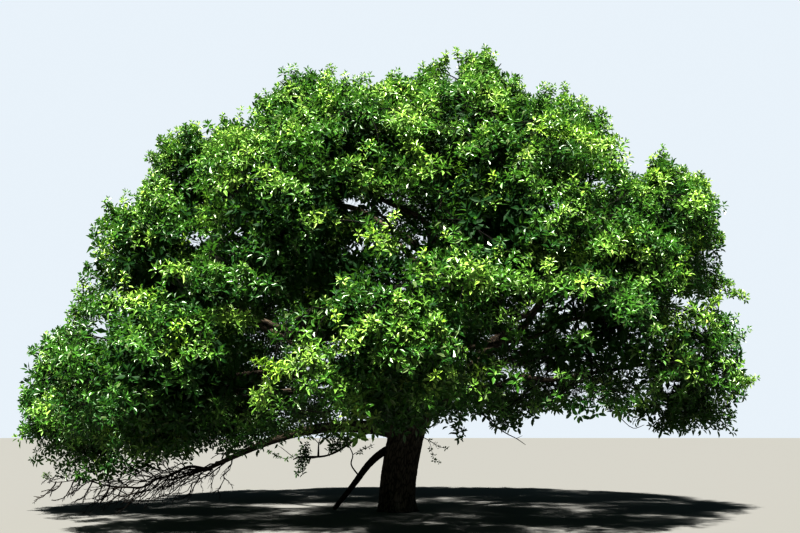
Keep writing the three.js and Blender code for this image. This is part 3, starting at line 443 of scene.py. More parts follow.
# Leafy twigs that stand out of the outline, from root to tip
SPRAYS = (
    ((5.5, -0.2, 4.3), (6.8, -0.25, 4.06)), ((6.0, -0.2, 4.45), (6.55, -0.2, 4.3)),
    ((5.6, 0.3, 4.25), (6.4, 0.3, 4.1)), ((5.8, -0.3, 2.75), (6.8, -0.3, 2.4)),
    ((6.0, -0.1, 5.1), (6.45, -0.1, 5.3)), ((5.9, 0, 6.1), (6.15, 0, 6.6)),
    ((5.2, 0, 6.3), (5.36, 0, 7.13)), ((5.25, 0.2, 6.4), (5.4, 0.2, 6.95)),
    ((5.35, -0.1, 6.35), (5.75, -0.1, 6.66)), ((0.6, -0.4, 8.2), (0.98, -0.5, 8.9)),
    ((1.5, -0.5, 8.2), (1.8, -0.6, 9.0)), ((1.4, -0.5, 8.2), (1.37, -0.5, 8.95)),
    ((1.6, -0.5, 8.1), (1.65, -0.5, 8.85)), ((-0.25, -0.4, 8.0), (-0.04, -0.4, 8.6)),
    ((2.3, -0.4, 7.9), (2.4, -0.4, 8.5)), ((-2.2, -0.6, 7.7), (-2.15, -0.6, 8.35)),
    ((-2.5, -0.5, 7.6), (-2.75, -0.5, 8.0)), ((-4.4, 0, 7.0), (-4.85, 0, 7.35)),
    ((-4.5, 0, 6.85), (-5.05, 0, 6.98)), ((-4.5, 0, 6.2), (-5.1, 0, 6.35)),
    ((3.9, -0.2, 7.5), (4.15, -0.2, 7.85)),
)
SPRAY_RADIUS = 0.011
SPRAY_ARCH = 0.1
SPRAY_START, SPRAY_SPACING = 0.15, 0.045
SPRAY_REACH = (0.24, 0.08)  # of its shoots, at its root and its tip
SPRAY_REACHES = (0.5, 1.1)  # least and most, as shares of it
SPRAY_LIFT, SPRAY_ACROSS = 0.4, 0.7
SPRAY_AIM = (0.7, 0.6, 0.3)  # how the leaves face to the side, along the spray and up
SPRAY_SIZES = (0.75, 1.05)
# Painted shade: such shoots on a spray's underside get a deeper green
SPRAY_UNDERSIDE = -0.2  # shoots that point further down than this are a deeper green

# The dead end of the low left limb, and how its twigs leave it and where they turn to
DEAD_BOUGH = (
    (-3.52, -0.545, 0.8), (-3.87, -0.55, 0.85), (-4.24, -0.57, 0.68), (-4.45, -0.58, 0.63),
    (-4.68, -0.6, 0.49), (-5.04, -0.62, 0.48), (-5.4, -0.65, 0.52), (-5.82, -0.68, 0.63),
    (-6.12, -0.7, 0.585), (-6.37, -0.7, 0.59), (-6.48, -0.7, 0.71),
)
DEAD_BOUGH_TIP = 0.005
DEAD_BOUGH_TAPER = 0.7
DEAD_TWIGS = 26
DEAD_TWIG_STARTS = (0.03, 0.92)
DEAD_TWIG_RADIUS = 0.013
DEAD_TWIG_LENGTHS = (0.45, 0.85)
DEAD_TWIG_LOSS = 0.4  # how much shorter the last is
DEAD_LEAVE = vec(-0.4, 0, -0.85)
DEAD_ARRIVE = vec(-0.9, 0, -0.4)
DEAD_ASIDE = 0.5
RISING_EVERY, RISING = 5, vec(1, 1, -0.5)  # every fifth twig leaves upwards
LIMB_END_SITES = (0.86, 0.95)
KINK = 0.18
LOWEST_TWIG = 0.02
FAN_TWIG_RADIUS, FAN_TWIG_STRAY, FAN_TWIG_POINTS = 0.009, 0.018, 9
# The finer twigs along a dead one: where they stand, and their length, thickness and turn against its own
FINER_SITES = np.arange(0.25, 0.95, 0.17)
FINER_SITE_STRAY = 0.06
FINER_LENGTHS = (0.22, 0.42)
FINER_ROOT_GAIN, FINER_TIP_LOSS = 1.2, 0.6
FINER_RADIUS, FINER_TURN, FINER_KINKS = 0.6, 0.3, 5
FINER_SPREAD = [1, 1, 0.6]
LONG_TWIG_RADIUS = 0.014
LONG_TWIG_START = 0.84
LONG_TWIG_DEPTHS = (-1.2, -0.2)  # the Y that it ends between
CROOKEDNESS = 0.035
# Where its long twigs end, as X and Z, each from further along the limb
LONG_DEAD_TWIGS = (
    (-3.3, 0.35), (-4.0, 0.36), (-4.35, 0.3), (-4.5, 0.42), (-5.0, 0.2), (-4.75, 0.6), (-5.55, 0.22),
    (-5.4, 0.42), (-5.8, 0.56), (-5.25, 0.7),
)

# Bark: one skin wraps the trunk and the roots of its limbs, and closed tubes carry the limbs on
SKIN_CELL = 0.0125
SKIN_REACH = 1.1  # along a main limb
LOW_SKIN_REACH = 1.5  # along the low left limb
SKIN_OVERLAP = 0.3
SKIN_SMOOTHING = 6
PLATE = vec(0.042, 0.042, 0.15)  # round the trunk, and along it
CRACK_WIDTH = 0.3  # share of a plate
CRACK_DEPTH = 0.01
THINNEST = 0.35  # share of the trunk's thickness below which the plates get no smaller
PLATE_WARP, WARP_WAVES = 0.35, 0.6  # in plates, and waves to a plate
ROUGH_DEPTH, ROUGH_WAVES = 0.004, 1.7  # in metres, and waves to a plate
ROUGH_FALLOFF, ROUGH_RATIO, ROUGH_LAYERS = 0.9, 2.0, 4
FLUTE_DEPTH = 0.03  # the long muscles of the wood
FLUTES = vec(4.5, 4.5, 0.9)  # to a metre, round the trunk and along it
SKIN_DRAW_IN, DRAW_IN_POWER = 0.12, 6  # how the skin tapers to its end under a tube
SKIN_SIDES, ROOT_SIDES, TRUNK_RINGS = 48, 28, 60
TUBE_SIDES = (8, 36)  # least and most
FEWEST_STEPS = 5  # along a tube
READ_PARTS = 12  # the skin is read in so many parts, to spare memory
JOIN_WIDTH = 0.06  # the relief fades out this near to where two limbs meet
GRAIN_STRETCH = 0.35  # the bark's own noise is this much coarser along a limb
TUBE_SPACING = 0.035  # between the rings of a tube, and round it
STREAKS = 60.0  # to a metre, about 17 mm apart
LICHEN_PATCHES = 9.0  # to a metre, about 110 mm apart

# Leaves
LEAF_LENGTH = 0.122
LEAF_WIDTH = 0.43  # share of its length
LEAF_FOLD = 0.25  # how far the halves of a blade rise from its midrib, as a share of half its width
LEAF_DROOP = 0.16  # how far its tip hangs, as a share of its length
BLADE_SECTIONS = ((0.3, 0.88), (0.68, 0.8))  # along the rib, and the share of the full width there
LEAVES_PER_ROSETTE = 9
ROSETTE_KINDS = 6
ROSETTE_TILTS = (18, 112)  # degrees from the shoot's axis, of the top leaf and the lowest
ROSETTE_SIZES = (0.62, 1.12)
ROSETTE_SIZE_STRAY = (0.92, 1.08)
ROSETTE_DEPTH = 0.10
LEAF_STALK = 0.012
TURN_STRAY, TILT_STRAY, ROLL_STRAY = 0.2, 8, 0.22
# A turned leaf's pale back is partly the whitebeam's own felted underside and partly painted glints
TURNED_SHARE = 0.45  # of the rosettes have a leaf that shows its pale back
TURNED_TILTS = (105, 150)
TURNED_SIZE = 0.95
ROSETTE_FIELDS = {"aim": "FLOAT_VECTOR", "spin": "FLOAT", "size": "FLOAT", "kind": "INT"}

# The greens of the leaves, from the youngest and most lit to the most shaded: partly the leaves' own age, and
# partly painted light and painted shade
GREENS = {
    "new": "#87a53f",
    "sunlit": "#839e4b",
    "fresh": "#67893c",
    "summer": "#3e6820",
    "deep": "#1e4813",
    # the inner green is near black, partly painted shade for the crown's inside
    "inner": "#0b300a",
}
NEW, SUNLIT, FRESH, SUMMER, DEEP, INNER = range(len(GREENS))
LEAF_GLOW = "#679c3d"  # the light that comes through a leaf
INNER_SURFACE = dict(roughness=0.65, gloss=0.25)  # old leaves inside the crown are dull
# The shares of the greens from new to deep: high and low in the crown, and in full sun. The brighter greens
# high up and in full sun are painted light, the deeper ones low down painted shade
HIGH_GREENS = np.array((0.04, 0.36, 0.36, 0.18, 0.06))
LOW_GREENS = np.array((0, 0.06, 0.22, 0.38, 0.34))
LIT_GREENS = np.array((0.06, 0.46, 0.36, 0.12, 0))
# A spray is painted brighter where it faces up and stands high, as painted light, and deeper where it faces
# down and stands low, as painted shade
OUTWARD_HIGH, HEIGHT_HIGH, PATCH_HIGH = 0.5, 0.12, 0.25  # by facing up, by height, and by patch
CROWN_FOOT = 1.5
GREEN_PATCHES = 0.9  # to a metre

# Floor, light and camera
FLOOR_CORNERS = [(-90, -60, 0), (90, -60, 0), (90, 120, 0), (-90, 120, 0)]
FILL_COLOUR, FILL_STRENGTH = "#a8d2de", 0.135
BACKDROP_COLOUR, BACKDROP_STRENGTH = "#e6edf3", 0.74
SUN_STRENGTH = 16.6
SUN_WIDTH = math.radians(2.5)
SUN_COLOUR = (1.0, 0.97, 0.9)
SUN_FROM = (-0.1, -0.38, 0.88)
EXPOSURE = 0.55
GAMMA = 0.74
CAMERA_PITCH = math.radians(8.84)
CAMERA_LENS = 46.15  # millimetres, on a sensor of the width below
SENSOR_WIDTH = 36.0
VIEW_LIMIT = 400


def unit(vector):
    """The vector, or each row of an array of them, at length 1."""
    vector = np.asarray(vector, float)
    return vector / np.linalg.norm(vector, axis=-1, keepdims=True)


def mix(a, b, share):
    return a + (b - a) * share


def random_from(seed):
    """The source's random numbers from 0 to 1, by its 32-bit rule."""
    state = (seed * 2654435761) & 0xFFFFFFFF
    while True:
        state = (state * 1664525 + 1013904223) & 0xFFFFFFFF
        yield (state >> 8) / 16777216


class Path:
    """A curve as a fine line of points, read by share of its length."""

    def __init__(self, points):
        self.points = np.asarray(points, float)
        steps = np.linalg.norm(np.diff(self.points, axis=0), axis=1)
        self.along = np.concatenate([[0.0], np.cumsum(steps)])
        self.length = self.along[-1]

    def at(self, share):
        place = np.asarray(share, float) * self.length
        return np.stack([np.interp(place, self.along, self.points[:, k]) for k in range(3)], -1)

    def heading(self, share):
        share = np.asarray(share, float)
        ahead, behind = np.minimum(1, share + HEADING_STEP), np.maximum(0, share - HEADING_STEP)
        return unit(self.at(ahead) - self.at(behind))


def bezier(*controls, steps=80):
    t = np.linspace(0, 1, steps + 1)[:, None]
    rows = [np.repeat(point[None], steps + 1, 0) for point in controls]
    while len(rows) > 1:
        rows = [mix(a, b, t) for a, b in zip(rows, rows[1:])]
    return rows[0]


def through(points, steps=16):
    """A centripetal Catmull-Rom curve through the points."""
    points = np.asarray(points, float)
    ends = [2 * points[0] - points[1], *points, 2 * points[-1] - points[-2]]
    t = np.linspace(0, 1, steps, endpoint=False)[:, None]
    pieces = []
    for a, b, c, d in zip(ends, ends[1:], ends[2:], ends[3:]):
        ab, bc, cd = (np.linalg.norm(q - p) ** 0.5 for p, q in ((a, b), (b, c), (c, d)))
        leave = bc * ((b - a) / ab - (c - a) / (ab + bc) + (c - b) / bc)
        arrive = bc * ((c - b) / bc - (d - b) / (bc + cd) + (d - c) / cd)
        cubic = 2 * b - 2 * c + leave + arrive
        square = -3 * b + 3 * c - 2 * leave - arrive
        pieces.append(b + leave * t + square * t**2 + cubic * t**3)
    return np.concatenate([*pieces, points[-1:]])


# The limbs' rule, as in the source
class Limb:
    """A tapering limb: its curve, and its radius at each share of its length."""

    def __init__(self, name, points, root_radius, tip_radius, collar=COLLAR):
        self.name = name
        self.path = Path(points)
        self.root_radius, self.tip_radius, self.collar = root_radius, tip_radius, collar
        self.boughs = 0

    def radius(self, share):
        share = np.asarray(share, float)
        swelling = self.collar * np.exp(-share * self.path.length / (COLLAR_REACH * self.root_radius))
        return mix(self.root_radius, self.tip_radius, share**TAPER) * (1 + swelling)


def trunk_centre(z):
    """The X of the trunk's axis at a height."""
    return TRUNK_LEAN * (z / FORK_HEIGHT) ** 2


def trunk_axis(count):
    """Points up the trunk's axis."""
    heights = np.linspace(0, TRUNK_TOP, count)
    return np.stack([trunk_centre(heights), 0 * heights, heights], 1)


def trunk_radius(z, angle):
    flare = ROOT_FLARE * np.exp(-z / ROOT_FLARE_HEIGHT)
    lobes = flare * LOBE_DEPTH * np.cos(ROOT_LOBES * angle + LOBE_TURN)
    ribs = RIBS * np.cos(RIB_COUNT * angle + z / RIB_TWIST)
    over = np.maximum(0, z - FORK_HEIGHT) / (TRUNK_TOP - FORK_HEIGHT)
    return TRUNK_RADIUS * (1 + flare + lobes + ribs) * (1 - TRUNK_TOP_ROUNDING * over**2)


class Mass:
    """The space of one foliage mass, and where its stem enters it."""

    def __init__(self, name, seed, centre, axes, radii, twigs, bare=False):
        self.name, self.seed, self.twigs, self.bare = name, seed, twigs, bare
        self.centre, self.axes, self.radii = centre, np.array(axes), np.array(radii)
        self.size = float(np.prod(radii) ** (1 / 3))
        self.scale = min(1, self.size / USUAL_MASS)

    def reach(self, directions):
        """How far the mass reaches from its middle in each direction, to its lumpy outline."""
        d = np.asarray(directions, float)
        smooth = 1 / np.linalg.norm(d @ self.axes.T / self.radii, axis=-1)
        x, y, z = d[..., 0], d[..., 1], d[..., 2]
        # The lumps follow the source's rule, and the seed gives each mass its own.
        x_wave, y_wave, other_y_wave, z_wave = LUMP_WAVES
        lumps = np.sin(x_wave * x + y_wave * y + self.seed)
        lumps = lumps + np.sin(other_y_wave * y - z_wave * z + 2 * self.seed)
        return smooth * (1 + 0.5 * LUMPS * lumps)

    def border(self, others):
        """The planes that part this mass from the others, as normals and distances."""
        between = np.array([other.centre - self.centre for other in others])
        between[:, 2] *= FLATNESS**2
        normals = unit(between)
        share = np.array([[self.size / (self.size + other.size)] for other in others])
        middles = self.centre + share * np.array([other.centre - self.centre for other in others])
        self.normals, self.distances = normals, (middles * normals).sum(1)

    def holds(self, points, slack=0.0):
        """True for each point inside the crown, or the bare twigs' own space, and on this mass's side."""
        points = np.asarray(points, float)
        if self.bare:
            inside = np.linalg.norm((points - self.centre) @ self.axes.T / self.radii, axis=-1) < 1
        else:
            inside = crown_share(points) > 1
        return inside & self.owns(points, slack)

    def owns(self, points, slack=0.0):
        """True for each point on this mass's side of every plane, above the ground."""
        own = (points @ self.normals.T < self.distances - MASS_GAP + slack).all(-1)
        return own & (points[..., 2] > GROUND_GAP)


def crown_mass(tier_name, k):
    """One mass of a ring, at its place round the trunk."""
    tier = TIERS[tier_name]
    heading = math.radians(tier["turn"] + 360 * k / tier["count"])
    c, s = math.cos(heading), math.sin(heading)
    across = tier["right"] if c > 0 else tier["left"]
    deep = tier["back"] if s > 0 else tier["front"]
    reach = 1 / math.hypot(c / across, s / deep)
    drop = tier["left_drop"] * max(0, -c) ** 2 + tier["front_drop"] * max(0, -s) ** 2
    rise = tier["right_rise"] * max(0, c) ** 4
    name = f"{tier_name}_{k + 1}"
    centre = vec(reach * c, reach * s, tier["height"] - drop + rise)
    return Mass(
        name=name,
        seed=CROWN_SEED * (list(TIERS).index(tier_name) + 1) + k,
        centre=centre + np.array(SHIFTS.get(name, (0, 0, 0))),
        axes=[vec(c, s, 0), vec(-s, c, 0), UP],
        radii=[tier["out"], tier["along"], tier["up"]],
        twigs=tier["twigs"],
    )


def wandering(start, leave, end, arrive, random):
    """A limb's curve between two points and headings, which strays a little on its way."""
    length = np.linalg.norm(end - start)
    curve = bezier(
        start, start + BEND_AT_ROOT * length * leave, end - BEND_AT_TIP * length * arrive, end,
        steps=LIMB_BENDS,
    )
    across = unit(np.cross(leave, UP))
    for i, point in enumerate(curve):
        stray = LIMB_WANDER * length * math.sin(math.pi * i / LIMB_BENDS)
        point += across * stray * (2 * next(random) - 1)
        point += UP * stray * (2 * next(random) - 1)
    return through(curve)


limbs = []


def add_bough(mass, parent, share, rise, root_radius, tip_radius=TIP_RADIUS):
    """A bough from a point on its parent, or from the trunk, to the mass that it carries."""
    random = random_from(mass.seed + BOUGH_SEED)
    start = parent.path.at(share) if parent else vec(trunk_centre(share), 0, share)
    inward = unit(start - mass.centre)
    end = mass.centre + inward * ENTRY_SHARE * mass.reach(inward)
    outward = unit((end - start) * [1, 1, 0])
    leave = unit(outward + rise * UP)
    if parent:
        leave = unit(leave + ALONG_PARENT * parent.path.heading(share))
    arrive = unit(unit(mass.centre - end) + LEVEL_ARRIVAL * outward)
    points = wandering(start, leave, end, arrive, random)
    limb = Limb(f"bough_{mass.name}", points, root_radius, tip_radius)
    limbs.append(limb)
    enter_mass(mass, limb)
    return limb


def enter_mass(mass, limb):
    """Starts the stem of a mass at the tip of the limb that carries it."""
    mass.tip, mass.heading = limb.path.at(1), limb.path.heading(1)
    mass.stem_radius = STEM_SHARE * limb.tip_radius


crown = {name: [crown_mass(name, k) for k in range(tier["count"])] for name, tier in TIERS.items()}
leftward = [vec(-1, 0, 0), vec(0, -1, 0), UP]
hanging = Mass(
    name="hanging", seed=701, centre=vec(-1.6, -0.62, 1.04), axes=leftward, radii=[0.48, 0.44, 0.42], twigs=3,
)
bare_twigs = Mass(
    name="bare_twigs", seed=702, centre=vec(-4.75, -0.65, 0.62), axes=leftward, radii=[1.5, 1.0, 0.56],
    twigs=5, bare=True,
)
leafy = [mass for tier in crown.values() for mass in tier] + [hanging]
for mass in leafy + [bare_twigs]:
    mass.border([other for other in leafy + [bare_twigs] if other is not mass])

stretches = np.array([mass.axes / mass.radii[:, None] for mass in leafy])
middles = np.array([mass.centre for mass in leafy])


def crown_share(points):
    """How deep points lie in the crown, in which the masses blend: 1 on its outline, and more inside."""
    offset = np.einsum("mij,...mj->...mi", stretches, points[..., None, :] - middles)
    return np.exp(BLEND * (1 - (offset**2).sum(-1))).sum(-1)


leader = add_bough(crown["top"][0], None, FORK_HEIGHT, LEADER_RISE, LEADER_RADIUS, MAIN_TIP_RADIUS)
main_limbs = [
    add_bough(
        mass, None, FORK_HEIGHT - FORK_STAGGER * (i % 2) - BELOW_FORK,
        MAIN_LIMB_RISE, MAIN_LIMB_RADIUS, MAIN_TIP_RADIUS,
    )
    for i, mass in enumerate(crown["waist"][::2])
]


def add_side_bough(mass, rise):
    """A bough from the main limb that heads most nearly the same way."""
    level = np.array([1, 1, 0])
    toward = unit(mass.centre * level)
    parent = min(main_limbs, key=lambda limb: np.linalg.norm(unit(limb.path.at(1) * level) - toward))
    share = FIRST_BOUGH + BOUGH_SPACING * parent.boughs
    parent.boughs += 1
    add_bough(mass, parent, share, rise, BOUGH_RADIUS)


for mass in crown["skirt"]:
    add_side_bough(mass, SKIRT_RISE)
for mass in crown["waist"][1::2]:
    add_side_bough(mass, WAIST_RISE)
for k, mass in enumerate(crown["shoulder"]):
    add_bough(mass, leader, FIRST_SHOULDER + SHOULDER_SPACING * k, SHOULDER_RISE, SHOULDER_RADIUS)
for k, mass in enumerate(crown["top"][1:]):
    add_bough(mass, leader, FIRST_TOP + TOP_SPACING * k, TOP_RISE, TOP_RADIUS)

low_limb = Limb("bough_low_left", bezier(*LOW_LIMB_ROUTE), LOW_LIMB_RADIUS, LOW_LIMB_TIP)
shoot = Limb("bough_hanging", bezier(*HANGING_ROUTE), HANGING_RADIUS, HANGING_TIP)
limbs += [low_limb, shoot]
enter_mass(bare_twigs, low_limb)
enter_mass(hanging, shoot)
prop_upper = bezier(*PROP_UPPER_ROUTE)
prop_lower = bezier(prop_upper[-1], *PROP_LOWER_ROUTE)
prop = Limb("prop_limb", np.concatenate([prop_upper, prop_lower[1:]]), PROP_RADIUS, PROP_TIP, PROP_COLLAR)

# Where the limbs are, as balls along them, for keeping foliage clear
ball_places = np.linspace(0, 1, BALLS_PER_LIMB)
limb_balls = np.concatenate(
    [limb.path.at(ball_places) for limb in limbs + [prop]] + [trunk_axis(TRUNK_BALLS)]
)
limb_radii = np.concatenate(
    [limb.radius(ball_places) for limb in limbs + [prop]] + [np.full(TRUNK_BALLS, TRUNK_RADIUS)]
)


def clear_of_limbs(points, gap):
    """True for each point that is at least the gap away from the trunk and from every limb."""
    points = np.atleast_2d(points)
    apart = np.linalg.norm(points[:, None] - limb_balls[None], axis=-1) - limb_radii
    return apart.min(1) > gap


class Strands:
    """Twigs as lines of points with a thickness, gathered to become one mesh."""

    def __init__(self):
        self.points, self.radii, self.edges, self.count = [], [], [], 0

    def add(self, points, radii):
        n = len(points)
        self.points.append(points)
        self.radii.append(np.broadcast_to(radii, n))
        first = np.arange(self.count, self.count + n - 1)
        self.edges.append(np.stack([first, first + 1], 1))
        self.count += n

    def add_path(self, path, root_radius, tip_radius, count):
        """A twig along a path, as so many points."""
        self.add(path.at(np.linspace(0, 1, count)), np.linspace(root_radius, tip_radius, count))

    def mesh(self, name):
        mesh = bpy.data.meshes.new(name)
        edges = np.concatenate(self.edges)
        mesh.vertices.add(self.count)
        mesh.vertices.foreach_set("co", np.concatenate(self.points).ravel())
        mesh.edges.add(len(edges))
        mesh.edges.foreach_set("vertices", edges.ravel())
        thickness = mesh.attributes.new("thickness", "FLOAT", "POINT")
        thickness.data.foreach_set("value", np.concatenate(self.radii))
        return mesh


def frame_round(direction):
    """Two directions across the given one."""
    across = np.cross(direction, UP)
    if np.linalg.norm(across) < TINY:
        across = vec(1, 0, 0)
    across = unit(across)
    return across, np.cross(across, direction)


def mass_twigs(mass):
    """The stem of a mass, and the twigs that branch from it by the source's rule."""
    random = random_from(mass.seed)
    onward = unit(mass.centre - mass.tip)
    stem_end = mass.centre + onward * STEM_BEYOND * mass.reach(onward)
    pull = STEM_PULL * np.linalg.norm(stem_end - mass.tip)
    stem = Path(bezier(mass.tip, mass.tip + pull * mass.heading, mass.centre, stem_end))
    east, north = frame_round(onward)
    phase = 2 * math.pi * next(random)
    twigs = []
    for i in range(mass.twigs):
        part = i / (mass.twigs - 1)
        forward = mix(FORWARD_TWIG, BACKWARD_TWIG, part)
        turn = phase + i * GOLDEN_ANGLE
        across = math.sqrt(1 - forward**2)
        direction = forward * onward + across * (math.cos(turn) * east + math.sin(turn) * north)
        shares = BARE_TWIG_REACHES if mass.bare else TWIG_REACHES
        ends = mass.centre + np.outer(shares, direction) * mass.reach(direction)
        fits = mass.holds(ends) & clear_of_limbs(ends, LIMB_GAP)
        if not fits.any():
            continue
        end = ends[fits.argmax()]
        start = stem.at(mix(*TWIG_STARTS, part))
        length = np.linalg.norm(end - start)
        twigs.append(Path(bezier(start, (start + end) / 2 + TWIG_ARCH * length * UP, end, steps=24)))
    return stem, twigs


class Foliage:
    """Everything that grows on the limbs: twigs, shoots and the rosettes of leaves on them."""

    def __init__(self):
        self.twigs, self.shoots = Strands(), Strands()
        self.places, self.aims, self.sizes, self.greens = [], [], [], []

    def add_rosette(self, place, aim, size, green):
        self.places.append(place)
        self.aims.append(aim)
        self.sizes.append(size)
        self.greens.append(green)

    def add_shoot(self, root, end):
        self.shoots.add(np.array([root, end]), (SHOOT_RADIUS, 0))


def spread_directions(count, axis, phase):
    """Directions spread evenly over the sphere, from along the axis to against it."""
    k = np.arange(count)
    forward = 1 - 2 * (k + 0.5) / count
    across = np.sqrt(1 - forward**2)
    east, north = frame_round(axis)
    turn = phase + k * GOLDEN_ANGLE
    ring = np.outer(np.cos(turn), east) + np.outer(np.sin(turn), north)
    return forward[:, None] * axis + across[:, None] * ring


def grow_mass(mass, foliage, random):
    """The twigs of a mass, the branchlets to its outline and to its tufts, and its inner leaves."""
    stem, twigs = mass_twigs(mass)
    foliage.twigs.add_path(stem, mass.stem_radius, STEM_TIP, 9)
    for twig in twigs:
        foliage.twigs.add_path(twig, TWIG_RADIUS, TWIG_TIP, 7)
    sites = np.concatenate([path.at(BRANCHLET_SITES) for path in [stem, *twigs]])
    headings = np.concatenate([path.heading(BRANCHLET_SITES) for path in [stem, *twigs]])
    count = int(4 * math.pi * mass.size**2 / BRANCHLET_SPACING**2)
    onward = unit(mass.centre - mass.tip)
    for direction in spread_directions(count, onward, mass.seed):
        direction = unit(direction + random.normal(0, BRANCHLET_STRAY, 3))
        found = branchlet_tip(mass, direction, random)
        if found is None:
            continue
        tip, shape = found
        nearest = easiest_site(tip, sites, headings)
        # A shelf's greens are painted brighter and a hollow's deeper, as painted light and painted shade
        add_branchlet(
            mass, foliage, sites[nearest], headings[nearest], tip, direction, random,
            share=mix(OUTLINE_SHARE, SHELF_SHARE, max(0, shape)),
            light=(SHELF_LIGHT if shape > 0 else HOLLOW_SHADE) * shape,
        )
    add_tufts(mass, foliage, sites, headings, random)
    add_inner_leaves(mass, foliage, sites, random)


def branchlet_tip(mass, direction, random):
    """Where a branchlet in this direction ends, with how much of a shelf the crown is there, or None."""
    places = mass.centre + np.outer(OUTLINE_STEPS, direction) * mass.reach(direction)
    in_crown = crown_share(places) > 1
    fits = in_crown & mass.owns(places, SPACE_SLACK)
    if not fits.any():
        return None
    edge = places[fits.argmax()]
    shape = shape_seen(edge)
    hollow = np.clip(HOLLOW_LEVEL + HOLLOW_CONTRAST * noise.noise(Vector(edge / CLUMP_SPAN)), 0, 1)
    hollow = mix(hollow, SHELF_OUT if shape > 0 else HOLLOW_IN, min(1, SHAPE_FIRMNESS * abs(shape)))
    if hollow > DEEP_HOLLOW and random.random() < MISSING_IN_DEEP or mass is hanging:
        return None
    tip = edge - direction * (CLUMP_MARGIN + HOLLOW_DEPTH * hollow + random.uniform(0, MARGIN_STRAY))
    while not in_room(tip + CLUMP_MARGIN * direction):
        tip = tip - PULL_BACK * direction
    if not clear_of_limbs(tip, LIMB_GAP) or tip[2] < GROUND_GAP + TIP_CLEARANCE or seen_in(SKY_GAPS, tip):
        return None
    outermost = fits.argmax() == in_crown.argmax()
    facing_out = direction @ unit(tip - CROWN_MIDDLE) > FACING_OUT
    if not (outermost and facing_out) and random.random() > INNER_SHARE:
        return None
    return tip, shape


def easiest_site(tip, sites, headings):
    """The place on the twigs from which a branchlet reaches the tip by the shortest and straightest way."""
    apart = tip - sites
    distance = np.linalg.norm(apart, axis=1)
    ease = (apart * headings).sum(1) / np.maximum(distance, TINY)
    return (distance * (DISTANCE_COST - EASE_GAIN * ease)).argmin()


def add_tufts(mass, foliage, sites, headings, random):
    """The listed sprays that stand nearest to this mass."""
    for tip in np.array(TUFTS + FRONT_TUFTS):
        if nearest_mass(tip) is mass:
            nearest = np.linalg.norm(tip - sites, axis=1).argmin()
            # The front tufts' greens are painted brighter, as painted light
            light = TUFT_LIGHT if tuple(tip) in FRONT_TUFTS else 0.0
            add_branchlet(
                mass, foliage, sites[nearest], headings[nearest], tip, unit(tip - mass.centre), random,
                spread=TUFT_SIZE, share=0.0, light=light,
            )


def nearest_mass(point):
    apart = np.linalg.norm(np.einsum("mij,mj->mi", stretches, point - middles), axis=1)
    return leafy[apart.argmin()]


def seen_from_front(point):
    """Where the line of sight through a point crosses the plane of the trunk."""
    return VIEWPOINT + (point - VIEWPOINT) * (-VIEWPOINT[1] / (point[1] - VIEWPOINT[1]))


def seen_in(places, point):
    """True where the viewpoint sees a point in one of the places."""
    seen = seen_from_front(point)
    return any(((seen[0] - x) / w) ** 2 + ((seen[2] - z) / h) ** 2 < 1 for x, z, w, h in places)


def shape_seen(point):
    """How much of a shelf the crown is at a point of its front, from 1, or of a hollow, down to -1."""
    if point[1] > FRONT_LIMIT:
        return 0.0
    seen = seen_from_front(point)
    shelf, hollow = (
        max(math.exp(-(((seen[0] - x) / w) ** 2) - ((seen[2] - z) / h) ** 2) for x, z, w, h in places)
        for places in (SHELVES, HOLLOWS)
    )
    return shelf - hollow


def add_inner_leaves(mass, foliage, sites, random):
    """The leaves on the short shoots inside a mass, in the inner green, which is partly painted shade."""
    if mass is hanging:
        return
    for _ in range(int(INNER_ROSETTES * (mass.size / INNER_MASS) ** 2)):
        direction = unit(random.normal(0, 1, 3))
        place = mass.centre + direction * mass.reach(direction) * random.uniform(*INNER_REACH)
        if not mass.holds(place, SPACE_SLACK) or not clear_of_limbs(place, LIMB_GAP):
            continue
        if seen_in(SKY_GAPS, place) or missing(place, random):
            continue
        foliage.add_shoot(sites[np.linalg.norm(place - sites, axis=1).argmin()], place)
        for _ in range(DENSE_LEAVES if seen_in(DENSE_PLACES, place) else 1):
            aim = unit(direction + INNER_LIFT * UP + random.normal(0, INNER_STRAY, 3))
            foliage.add_rosette(place, aim, INNER_SIZE * random.uniform(*INNER_SIZES), INNER)
            place = place + random.normal(0, DENSE_STRAY, 3)


def branchlet_path(start, heading, tip):
    """The curve of a branchlet, which leaves along its twig where that keeps it in the crown."""
    length = np.linalg.norm(tip - start)
    bend = start + BRANCHLET_BEND * length * unit(unit(tip - start) + BRANCHLET_FOLLOW * heading)
    bend = bend + BRANCHLET_ARCH * length * UP
    if crown_share(mix(bend, (start + tip) / 2, 0.5)) < 1:
        bend = (start + tip) / 2
    return Path(bezier(start, bend, tip, steps=12))


